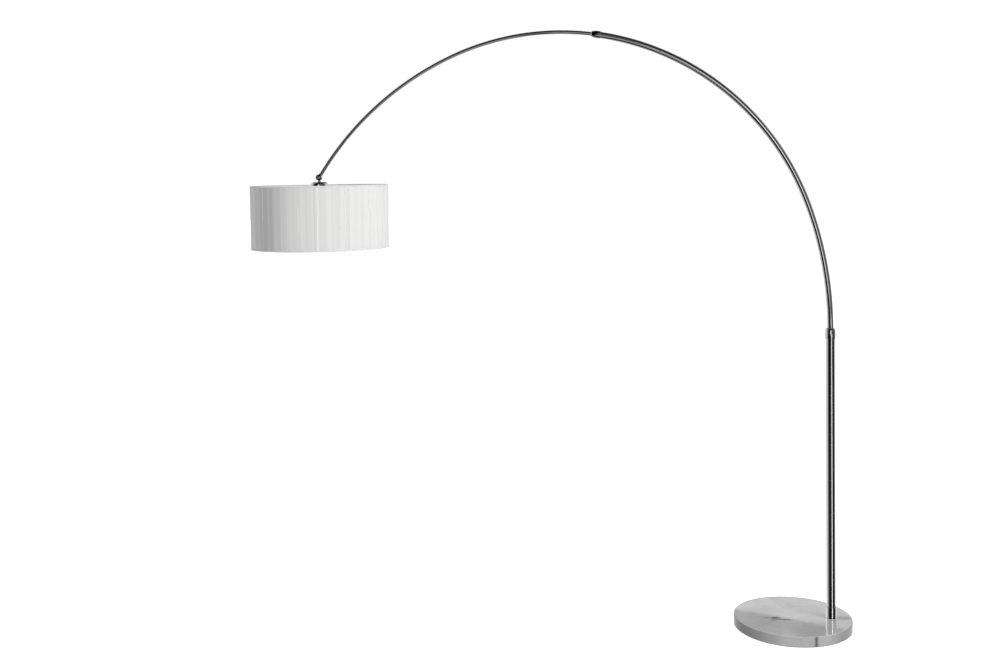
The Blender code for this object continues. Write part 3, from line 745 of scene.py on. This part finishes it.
def tongue(width, near_y, far_y, way, bevel):
    """A bar from beside the bore out past the cheek's rim, along way."""
    inner, outer = 0.0045, 0.0140
    middle = PIVOT + way * ((inner + outer) / 2) + Vector((0, (near_y + far_y) / 2, 0))
    matrix = Matrix.Translation(middle) @ Matrix.Rotation(atan2(way.x, way.z), 4, "Y")
    return box_helper((width, abs(far_y - near_y), outer - inner), matrix, bevel)


def make_knuckle():
    back = -heading_way(ROD_END)
    tongue_y = CHEEK_INNER_Y + 0.0003
    rim_gap = 0.0008
    upper = cheek(-CHEEK_Y, -CHEEK_INNER_Y)
    boolean(upper, tongue(0.0110, -tongue_y, -CHEEK_Y + 0.002, back, 0.0008), "UNION")
    shoulder = fillet(bar(ROD_R, CHEEK_R + rim_gap, SHOULDER_TO), 0.0006)
    boolean(upper, spun(shoulder, PIVOT, back, 48), "UNION")
    plug = bar(0.0049, SHOULDER_TO - 0.001, 0.035)
    boolean(upper, spun(plug, PIVOT, back, 32), "UNION")
    finish("knuckle_rod_half", upper, CHROME_TURNED, "chrome", "rod", "knuckle_upper")
    lower = cheek(CHEEK_INNER_Y, CHEEK_Y)
    neck_r, foot_r, stud_r = 0.0045, 0.0065, 0.0048
    down = Vector((0, 0, -1))
    boolean(lower, tongue(0.0078, tongue_y, neck_r - 0.0003, down, 0.0006), "UNION")
    seat = span("canopy_cap")[1] + GAP - PIVOT.z
    low = span("knuckle_lower")[0] - PIVOT.z
    top = -CHEEK_R - rim_gap
    profile = [(0, top), (neck_r, top), (neck_r, seat + 0.0020), (foot_r, seat + 0.0014),
               (foot_r, seat), (stud_r, seat), (stud_r, low), (0, low)]
    boolean(lower, spun(fillet(profile, 0.0004), PIVOT, steps=48), "UNION")
    cord_r = 0.0028
    boolean(lower, spun(bar(cord_r, low - 0.001, seat), PIVOT, steps=24))
    finish("knuckle_shade_half", lower, CHROME_TURNED, "chrome", "shade_head", "knuckle_lower")


def hexagon(corner_r, low_y, high_y, bevel=0.0):
    """A six-sided prism about the pivot's axis, for Boolean work."""
    bm = bmesh.new()
    middle = Matrix.Translation(PIVOT + Vector((0, (low_y + high_y) / 2, 0)))
    bmesh.ops.create_cone(bm, cap_ends=True, segments=6, radius1=corner_r, radius2=corner_r,
                          depth=high_y - low_y, matrix=middle @ Matrix.Rotation(pi / 2, 4, "X"))
    if bevel:
        bmesh.ops.bevel(bm, geom=bm.edges[:], offset=bevel, segments=3, affect="EDGES")
    return helper(bm)


def make_knuckle_fasteners():
    seat, rim, head_r, shank_r, socket_r = CHEEK_Y + GAP, 0.0012, 0.0060, 0.0025, 0.0018
    profile = dome(head_r, 0, seat + rim, seat + 0.0032)
    profile += [(head_r, seat), (shank_r, seat), (shank_r, -0.0125), (0, -0.0125)]
    screw = spun(profile, PIVOT, (0, -1, 0), steps=64)
    boolean(screw, hexagon(socket_r, -seat - 0.0040, -seat - 0.0012))
    finish("knuckle_pivot_screw", screw, CHROME_TURNED, "chrome", "rod", "knuckle_screw")
    flat_r = 0.0045
    nut = hexagon(flat_r / cos(pi / 6), seat, 0.0122, 0.0004)
    boolean(nut, spun(bar(PIN_R, 0, 0.02), PIVOT, (0, 1, 0), steps=32))
    finish("knuckle_back_nut", nut, CHROME_TURNED, "chrome", "rod", "knuckle_nut")


# ---- canopy, lampholder and bulb --------------------
def make_canopy():
    low, high = span("canopy_cap")
    r = reach("canopy_cap")
    wall = 0.001
    flat_r = 0.020
    side_top = low + 0.012
    outside = [(CORD_ENTRY_R, high)] + dome(r, flat_r, side_top, high, 14) + [(r, low)]
    inside = [(r - wall, low)] + dome(r - wall, flat_r, side_top, high - wall, 14)[::-1]
    profile = outside + inside + [(CORD_ENTRY_R, high - wall)]
    turned("shade_canopy", profile, SHADE_AXIS, CHROME_TURNED, "chrome", "shade_head",
           "canopy_cap", sharp=50)


def make_lampholder():
    """The cap, the skirt with the thread outside it, and the ring nut that holds the shade."""
    low, high = span("lampholder_cap")
    flange_top = span("lampholder_skirt")[1]
    boss_r, wall = 0.0082, 0.0018
    outside = [(CORD_ENTRY_R, high), (boss_r, high), (boss_r, high - 0.004),
               (0.0150, high - 0.0068), (0.0195, high - 0.013), (0.0210, flange_top + GAP)]
    inside = [(r - wall if r > CORD_ENTRY_R else r, z - (wall if z > low + 0.001 else 0))
              for r, z in reversed(outside)]
    turned("holder_cap", outside + inside, SHADE_AXIS, BLACK, "black_plastic", "shade_head",
           "lampholder_cap", round_off=0.0005, steps=72)
    low, high = span("lampholder_skirt")
    flange = high - 0.0025
    r, bore, flange_r = 0.0193, 0.0172, 0.0225
    profile = [(flange_r, high), (flange_r, flange), (r, flange)]
    pitch, turns, groove = 0.0024, 5, 0.0006
    for k in range(turns):
        z = flange - 0.0105 - k * pitch
        profile += [(r, z), (r - groove, z - pitch / 4), (r - groove, z - pitch / 2),
                    (r, z - pitch * 3 / 4)]
    profile += [(r, low), (bore, low), (bore, high)]
    turned("holder_skirt", profile, SHADE_AXIS, BLACK, "black_plastic", "shade_head",
           "lampholder_skirt", round_off=0.0004, steps=72)
    low, high = span("shade_ring_nut")
    grip_r, rim_r, bore, teeth = 0.0225, 0.0270, 0.0197, 36
    profile = [(rim_r, high), (rim_r, high - 0.0025), (grip_r, high - 0.0035), (grip_r, low),
               (bore, low), (bore, high)]
    bm = lathe(fillet(profile, 0.0004, True, 3), SHADE_AXIS, steps=teeth * 8, closed=True,
               wobble=lambda a, z: -0.0004 * max(0, cos(a * teeth)) if z < high - 0.0036 else 0)
    piece("holder_ring_nut", bm, BLACK, "black_plastic", "shade_head", "shade_ring_nut")


def make_bulb():
    """The envelope, open at its neck, from (radius, height) points down its outline."""
    outside = [(0.0118, 1.5180), (0.0118, 1.4995), (0.0129, 1.4975), (0.0180, 1.4840),
               (0.0262, 1.4680), (0.0298, 1.4520), (0.0285, 1.4380), (0.0225, 1.4260),
               (0.0120, 1.4195), (0, 1.4180)]
    outside = outside[:2] + round_through(outside[2:], 5)
    wall = 0.0008
    inside = [(max(0.0, r - wall), z + (wall if r < 0.02 and z < 1.45 else 0))
              for r, z in reversed(outside)]
    bm = lathe(outside + inside, SHADE_AXIS, steps=72, closed=True)
    piece("bulb_envelope", bm, OPAL, "opal_glass", "shade_head", "bulb_glass", sharp=60)


def round_through(points, count):
    """A smooth line through points (Catmull-Rom), count steps between each two."""
    line = []
    padded = [points[0]] + list(points) + [points[-1]]
    for p0, p1, p2, p3 in zip(padded, padded[1:], padded[2:], padded[3:]):
        for k in range(count):
            t = k / count
            spot = []
            for a, b, c, d in zip(p0, p1, p2, p3):
                spot.append(0.5 * (2 * b + (c - a) * t + (2 * a - 5 * b + 4 * c - d) * t * t
                                   + (3 * b - 3 * c + d - a) * t ** 3))
            line.append((max(0.0, spot[0]), spot[1]))
    line.append(tuple(points[-1]))
    return line


# ---- shade --------------------
SHADE_R = reach("shade_thread_wrap")
SHADE_LOW = span("shade_bottom_trim")[0]
SHADE_HIGH = span("shade_top_trim")[1]


def torus_profile(centre_r, height, wire, count=14):
    around = [2 * pi * i / count for i in range(count)]
    return [(centre_r + wire * cos(a), height - wire * sin(a)) for a in around]


def bent_wire(name, points, radius, sides, fillet_r, *nodes):
    """A capped wire through points, its corners bent on a radius."""
    line = [Vector(points[0])]
    for before, here, after in zip(points, points[1:], points[2:]):
        here = Vector(here)
        back = (Vector(before) - here).normalized() * fillet_r
        ahead = (Vector(after) - here).normalized() * fillet_r
        line += round_corner(here + back, here, here + ahead, 6)
    line.append(Vector(points[-1]))
    bm = bmesh.new()
    layer = bm.verts.layers.float_vector.new("grain")
    across = (line[-1] - line[0]).cross(UP).normalized()
    rings = []
    run = 0.0
    for i, place in enumerate(line):
        ahead = (line[min(i + 1, len(line) - 1)] - line[max(i - 1, 0)]).normalized()
        if i:
            run += (place - line[i - 1]).length
        rings.append(ring_round(bm, layer, place, across, across.cross(ahead).normalized(), radius,
                                sides, run))
    skin_over(bm, rings, capped=True)
    piece(name, bm, WIRE, "white_wire", "shade_head", *nodes, sharp=60)


def make_shade_frame():
    top_z = span("shade_top_frame")[1] - WIRE_R
    low_z = span("shade_bottom_ring")[0] + WIRE_R
    ring_r = SHADE_R - WRAP_T - LINER_T - 2 * GAP - WIRE_R
    turned("frame_top_ring", torus_profile(ring_r, top_z, WIRE_R), SHADE_AXIS, WIRE, "white_wire",
           "shade_head", "shade_top_frame", steps=240)
    turned("frame_bottom_ring", torus_profile(ring_r, low_z, WIRE_R), SHADE_AXIS, WIRE,
           "white_wire", "shade_head", "shade_bottom_ring", steps=240)
    plate = sleeve(0.0310, 0.0200, PLATE_Z - 0.001, PLATE_Z + 0.001)
    turned("frame_centre_plate", plate, SHADE_AXIS, WIRE, "white_wire", "shade_head",
           round_off=0.0004)
    for i in range(3):
        azimuth = radians(90 + 120 * i)
        out = Vector((cos(azimuth), sin(azimuth), 0))
        route = [(0.0295, PLATE_Z), (0.050, PLATE_Z), (0.225, top_z), (ring_r, top_z)]
        points = [SHADE_AXIS + out * r + UP * z for r, z in route]
        bent_wire("frame_arm_%d" % (i + 1), points, WIRE_R - 0.0001, 16, 0.008)


THREADS = 1180
COLUMNS_PER_THREAD = 4
RIB_DEPTH = 0.00022
SWAY = 0.00035
# lighter threads right of the seam, and a band left of it painted darker as its shadow
SEAM_LIGHTER_SPAN = 0.010
SEAM_SHADOW_SPAN = (0.030, 0.052)
# middle of the side painted darker as shade, away from the key light
SIDE_SHADE_AZIMUTH = radians(-128)


def streaks(angle, waves):
    """Changes of tone round the shade, from -1 to 1, as threads bunch and spread."""
    total = sum(weight * sin(turns * angle + phase) for turns, phase, weight in waves)
    return max(-1.0, min(1.0, 2.4 * total))


def from_angle(angle, middle):
    """Signed turn from middle to angle, -pi to pi."""
    return (angle - middle + pi) % (2 * pi) - pi


def beside_seam(angle):
    """Change of tone beside the seam: lighter threads on its right, and a painted shadow line on its left, for the
    shade beside the raised strip.
    """
    right = from_angle(angle, SEAM_AZIMUTH)
    edge = SEAM_W / 2 / SHADE_R
    if edge < right < edge + SEAM_LIGHTER_SPAN:
        return 0.40
    # painted shadow line left of the seam
    if -SEAM_SHADOW_SPAN[1] < right < -SEAM_SHADOW_SPAN[0]:
        return -0.28
    return 0.0


def painted_side_shade(angle):
    """Painted shade: the side of the shade away from the key light is painted darker, with a firm edge towards the
    seam.
    """
    off = from_angle(angle, SIDE_SHADE_AZIMUTH)
    rise = min(1.0, max(0.0, (off + 0.30) / 0.34))
    firm = min(1.0, max(0.0, (0.22 - off) / 0.03))
    soft = min(1.0, max(0.0, (0.42 - off) / 0.20))
    return -0.50 * rise * (0.3 * firm + 0.7 * soft)


def shade_point(bm, layer, r, a, z, value):
    """A point round the shade's axis, with its value in the layer."""
    vert = bm.verts.new((SHADE_AXIS.x + r * cos(a), r * sin(a), z))
    vert[layer] = value
    return vert


def make_thread_wrap():
    """Cotton thread wound side by side: a ribbed skin with a smooth back."""
    chance = random.Random(7)
    waves = [(chance.randint(9, 120), chance.uniform(0, 2 * pi), chance.uniform(0.08, 0.26))
             for _ in range(18)]
    low, high = span("shade_thread_wrap")
    rows = 11
    heights = [low + (high - low) * k / (rows - 1) for k in range(rows)]
    lean = [(chance.randint(3, 60), chance.uniform(0, 2 * pi), chance.uniform(-1, 1))
            for _ in range(16)]
    tones = [chance.gauss(0.54, 0.06) for _ in range(THREADS)]
    depths = [chance.uniform(0.75, 1.0) for _ in range(THREADS)]
    columns = THREADS * COLUMNS_PER_THREAD
    bm = bmesh.new()
    tone_layer = bm.verts.layers.float.new("tone")
    lift = (0.0, 0.72, 1.0, 0.72)
    rings = []
    for row, z in enumerate(heights):
        share = row / (rows - 1)
        ring = []
        for c in range(columns):
            thread_index = c // COLUMNS_PER_THREAD
            base_angle = 2 * pi * c / columns
            sway = sum(w * sin(n * base_angle + p + 2.2 * share) for n, p, w in lean)
            a = base_angle + SWAY * sway * sin(pi * share) / SHADE_R
            rise = lift[c % COLUMNS_PER_THREAD]
            r = SHADE_R - RIB_DEPTH * depths[thread_index] * (1 - rise) - 0.00002
            tone = tones[thread_index] + 0.09 * streaks(base_angle + 0.004 * share, waves)
            # painted shade: a shadow line left of the seam and the side away from the key light
            tone += beside_seam(base_angle) + painted_side_shade(base_angle)
            # the valleys between threads are painted darker, as painted shade in the creases
            ring.append(shade_point(bm, tone_layer, r, a, z, tone - 0.08 * (1 - rise)))
        rings.append(ring)
    for z in (high, low):
        rings.append([shade_point(bm, tone_layer, SHADE_R - WRAP_T, 2 * pi * c / columns, z, 0.5)
                      for c in range(columns)])
    skin_over(bm, rings, closed=True)
    piece("thread_winding", bm, THREAD, "white_thread", "shade_head", "shade_thread_wrap", sharp=60)


def lay_thread(bm, tone_layer, tone, radius, path):
    """A capped thread on the outside of the winding, through (angle, height) points."""
    rings = []
    for angle, z in path:
        out = Vector((cos(angle), sin(angle), 0))
        side = Vector((-sin(angle), cos(angle), 0))
        place = SHADE_AXIS + out * (SHADE_R + radius * 0.5) + UP * z
        rings.append(ring_round(bm, tone_layer, place, out, side, radius, 6, 0, tone))
    skin_over(bm, rings, capped=True)


def make_loose_threads():
    """Bundles of thread that lie across the winding, a little slack and aslant."""
    chance = random.Random(23)
    bm = bmesh.new()
    tone_layer = bm.verts.layers.float.new("tone")
    low = SHADE_LOW + TRIM_H * 0.6
    high = SHADE_HIGH - TRIM_H * 0.6
    pitch = 0.00034 / SHADE_R
    steps = 12
    for _ in range(44):
        # more of them lie on the front, towards the right of the seam
        angle = SEAM_AZIMUTH + chance.choice((chance.uniform(0.05, 1.3), chance.uniform(-pi, pi)))
        slant = chance.gauss(0, 0.03)
        bow = chance.gauss(0, 0.010)
        start = chance.choice((0.0, 0.0, chance.uniform(0.1, 0.5)))
        end = chance.choice((1.0, 1.0, chance.uniform(0.6, 0.9)))
        tone = chance.choice((1.0, 0.95, 0.90))
        for k in range(chance.randint(3, 9)):
            path = []
            for i in range(steps + 1):
                t = start + (end - start) * i / steps
                path.append((angle + k * pitch + slant * t + bow * sin(pi * t),
                             low + (high - low) * t))
            lay_thread(bm, tone_layer, tone, chance.uniform(0.00015, 0.00019), path)
    piece("loose_threads", bm, THREAD, "white_thread", "shade_head", sharp=180)


def make_liner_and_trims():
    low, high = span("shade_liner")
    outer = SHADE_R - WRAP_T - GAP
    profile = sleeve(outer, outer - LINER_T, low, high)
    turned("shade_inner_skin", profile, SHADE_AXIS, LINER_WITH_PAINTED_SHADE, "white_laminate", "shade_head",
           "shade_liner", steps=256)
    web = outer - LINER_T
    out = SHADE_R + GAP + TRIM_T
    t = TRIM_T
    hang = SHADE_HIGH - TRIM_H
    top = [(web, SHADE_HIGH), (out, SHADE_HIGH), (out, hang), (out - t, hang),
           (out - t, SHADE_HIGH - t), (web, SHADE_HIGH - t)]
    rise = SHADE_LOW + TRIM_H
    bottom = [(web, SHADE_LOW), (web, SHADE_LOW + t), (out - t, SHADE_LOW + t), (out - t, rise),
              (out, rise), (out, SHADE_LOW)]
    for name, profile, node in (("top_binding", top, "shade_top_trim"),
                                ("bottom_binding", bottom, "shade_bottom_trim")):
        turned(name, profile, SHADE_AXIS, BINDING_TAPE, "white_tape", "shade_head", node,
               steps=256, round_off=0.0003)


def make_seam():
    """The strip of tape over the seam: a low crown between two pressed edges."""
    low, high = span("shade_seam_strip")
    bm = bmesh.new()
    layer = bm.verts.layers.float_vector.new("grain")
    base, thick, across, rows = SHADE_R + GAP, 0.0006, 8, 60
    rings = []
    for k in range(rows + 1):
        z = low + (high - low) * k / rows
        spots = []
        for i in range(across + 1):
            u = 2 * i / across - 1
            a = SEAM_AZIMUTH + u * SEAM_W / 2 / SHADE_R
            spots.append((base + thick * (0.35 + 0.65 * (1 - u ** 4)), a))
        spots += [(base, a) for _, a in reversed(spots)]
        rings.append([shade_point(bm, layer, r, a, z, (r * cos(a), r * sin(a), z))
                      for r, a in spots])
    skin_over(bm, rings)
    for ring in (rings[0], rings[-1]):
        for i in range(across):
            bm.faces.new((ring[i], ring[i + 1], ring[-2 - i], ring[-1 - i]))
    piece("seam_tape", bm, SEAM_TAPE, "white_tape", "shade_head", "shade_seam_strip", sharp=50)


# ---- CAD nodes that stay, with a finished material --------------------
def dress_cad_nodes():
    slots = {row["node"]: row["material_slot"] for row in frame["record"]["subparts"]}
    for name, node in frame["nodes"].items():
        if node.hide_render:
            continue
        material = SLOT_MATERIAL.get(slots[name], CHROME_TURNED)
        node.data.materials.clear()
        node.data.materials.append(material)


make_marble()
make_post()
make_arm()
make_arm_collar()
make_rod()
make_knuckle()
make_knuckle_fasteners()
make_canopy()
make_lampholder()
make_bulb()
make_shade_frame()
make_thread_wrap()
make_loose_threads()
make_liner_and_trims()
make_seam()
dress_cad_nodes()


# ---- floor, light and camera --------------------
FLOOR_R = 40


def make_floor():
    bm = bmesh.new()
    bmesh.ops.create_circle(bm, cap_ends=True, segments=96, radius=FLOOR_R)
    floor = add_object("studio_floor", to_mesh("studio_floor", bm))
    look = Look("studio_paper")
    tone = look.noise(look.place(), 3.0, 3.0)
    # the paper is lit to white for the camera; its own soft shadow stays
    seen = look.make("LightPath")["Is Camera Ray"]
    look.set(Base_Color=look.ramp(tone, [(0.3, 0.86), (0.7, 0.90)]), Roughness=0.9,
             Specular_IOR_Level=0.1, Emission_Color=(1, 1, 1),
             Emission_Strength=look.times(seen, 0.86))
    floor.data.materials.append(look.material)
    floor.visible_glossy = False


# what metal and polished stone see: levels by azimuth (0 in front at -Y, 90 at +X) and by elevation
AROUND = [(-180, 1.0), (-122, 1.0), (-104, 0.90), (-80, 0.62), (-66, 0.26), (-50, 0.07), (-38, 0.0),
          (-12, 0.0), (-4, 0.10), (18, 0.10), (28, 0.03), (70, 0.02), (86, 0.04), (98, 0.20),
          (112, 0.75), (122, 1.0), (180, 1.0)]
UPWARD = [(-90, 0.12), (-60, 0.35), (-32, 0.75), (-20, 1.0), (22, 1.0), (36, 0.62), (52, 0.40),
          (90, 0.20)]
# softboxes as metal sees them: azimuth from, to, elevation from, to, soft edge, level
PANELS = [
    (23.0, 27.5, -19.7, -6, 1.0, 4.8),    # tall strip that draws the line down the post
    (0, 15, -6, 12, 2.0, 1.42),           # box that draws the line along the arm
    (-11, 0, -6, 3, 1.5, 0.45),
    (-24, -6, -30, -20.5, 1.5, 0.95),     # low reflector under the bend of the arm
    (-30, 0, -66, -36, 9.0, 0.10),
    (0, 60, -70, -42, 9.0, 0.60),
    (22, 100, -6, 40, 6.0, 0.11),
]
# those that only the second of two mirrors sees: the lines of the post in the polished stone
PANELS_SEEN_TWICE = [
    (23.0, 27.5, 18.6, 21.6, 0.8, 17.0),
    (-150, -118, 18.6, 21.6, 0.8, 3.0),
]
# rear edge of the dark ceiling, seen in the polished stone: its elevation at azimuth 180, and how
# much that rises with each degree away from it
CEILING_EDGE = 19.07
CEILING_SLOPE = 0.105
AMBIENT = 0.40


class Sky(Nodes):
    """The nodes of the world. Angles are in degrees."""

    def levels(self, angle, full_turn, stops):
        """Level by an angle, as a ramp over -full_turn / 2 ... full_turn / 2."""
        share = self.plus(self.maths("DIVIDE", angle, full_turn), 0.5)
        return self.ramp(share, [(place / full_turn + 0.5, level) for place, level in stops])

    def rise(self, angle, middle, soft):
        """0 below the middle and 1 above it, over a soft edge."""
        return self.smooth(angle, middle - soft / 2, middle + soft / 2)

    def within(self, angle, low, high, soft):
        return self.maths("SUBTRACT", self.rise(angle, low, soft), self.rise(angle, high, soft))

    def without(self, share):
        return self.maths("SUBTRACT", 1.0, share)


def make_world():
    """White to the camera, even to matt surfaces; metal sees dark front, panels and bright rear."""
    world = bpy.data.worlds.new("studio")
    scene.world = world
    world.use_nodes = True
    world.node_tree.nodes.clear()
    sky = Sky(world.node_tree)
    x, y, z = sky.make("SeparateXYZ", {0: sky.make("TexCoord")["Generated"]})
    azimuth = sky.maths("DEGREES", sky.maths("ARCTAN2", x, sky.times(y, -1.0)))
    elevation = sky.maths("DEGREES", sky.maths("ARCSINE", z))
    mirrored = sky.times(sky.levels(azimuth, 360, AROUND), sky.levels(elevation, 180, UPWARD))
    from_front = sky.maths("ABSOLUTE", azimuth)
    above = sky.plus(elevation, sky.times(from_front, CEILING_SLOPE))
    ceiling = sky.times(sky.rise(from_front, 150, 12),
                        sky.rise(above, CEILING_EDGE + 180 * CEILING_SLOPE, 0.06))
    mirrored = sky.times(mirrored, sky.without(sky.times(ceiling, 0.92)))
    path = sky.make("LightPath")
    twice = sky.maths("GREATER_THAN", path["Glossy Depth"], 1.5)
    for panels, share in ((PANELS, 1.0), (PANELS_SEEN_TWICE, twice)):
        for left, right, low, high, soft, level in panels:
            panel = sky.times(sky.within(azimuth, left, right, soft),
                              sky.within(elevation, low, high, soft))
            mirrored = sky.plus(mirrored, sky.times(panel, share, level))
    matt = path["Is Diffuse Ray"]
    unseen = sky.plus(sky.times(matt, AMBIENT), sky.times(sky.without(matt), mirrored))
    seen = path["Is Camera Ray"]
    strength = sky.plus(seen, sky.times(sky.without(seen), unseen))
    background = sky.make("Background", {"Color": (1, 1, 1), "Strength": strength})
    sky.make("OutputWorld", {"Surface": background[0]})


def softbox(name, azimuth, elevation, distance, size, power, aim_at):
    """A softbox that faces aim_at; azimuth 0 is on the camera's side (-Y), and 90 at +X."""
    a, e = radians(azimuth), radians(elevation)
    away = Vector((sin(a) * cos(e), -cos(a) * cos(e), sin(e)))
    light = bpy.data.lights.new(name, "AREA")
    light.shape = "RECTANGLE"
    light.size, light.size_y = size
    light.energy = power
    obj = add_object(name, light)
    obj.location = aim_at + away * distance
    obj.rotation_euler = (-away).to_track_quat("-Z", "Y").to_euler()
    obj.visible_glossy = False
    obj.visible_camera = False


def make_lights():
    """Large and far softboxes, so that the shade keeps its tone wherever the arm swings it."""
    middle = Vector((-0.75, 0, 1.0))
    softbox("key_softbox", 61, 18, 25, (13, 12.5), 3150, middle)
    softbox("front_softbox", 15.5, 8, 25, (12, 12), 850, middle)
    softbox("top_softbox", 0, 89, 5, (3, 3), 75, middle)


def make_camera():
    """A camera at the shade's height, pitched down and rolled a little, framed by lens shift."""
    data = bpy.data.cameras.new("camera")
    data.lens = 45
    data.sensor_width = 36
    data.shift_x = 0.04353
    data.shift_y = -0.108
    data.dof.use_dof = False
    yaw = radians(10.023)
    pitch = radians(2.501)
    roll = radians(0.903)
    ahead = Vector((-sin(yaw) * cos(pitch), cos(yaw) * cos(pitch), -sin(pitch)))
    right = Vector((cos(yaw), sin(yaw), 0))
    up = right.cross(ahead)
    tilted_right = right * cos(roll) - up * sin(roll)
    tilted_up = up * cos(roll) + right * sin(roll)
    axes = Matrix((tilted_right, tilted_up, -ahead)).transposed()
    camera = add_object("camera", data)
    camera.matrix_world = Matrix.Translation((-0.383, -4.404, 1.598)) @ axes.to_4x4()
    scene.camera = camera


make_floor()
make_world()
make_lights()
make_camera()
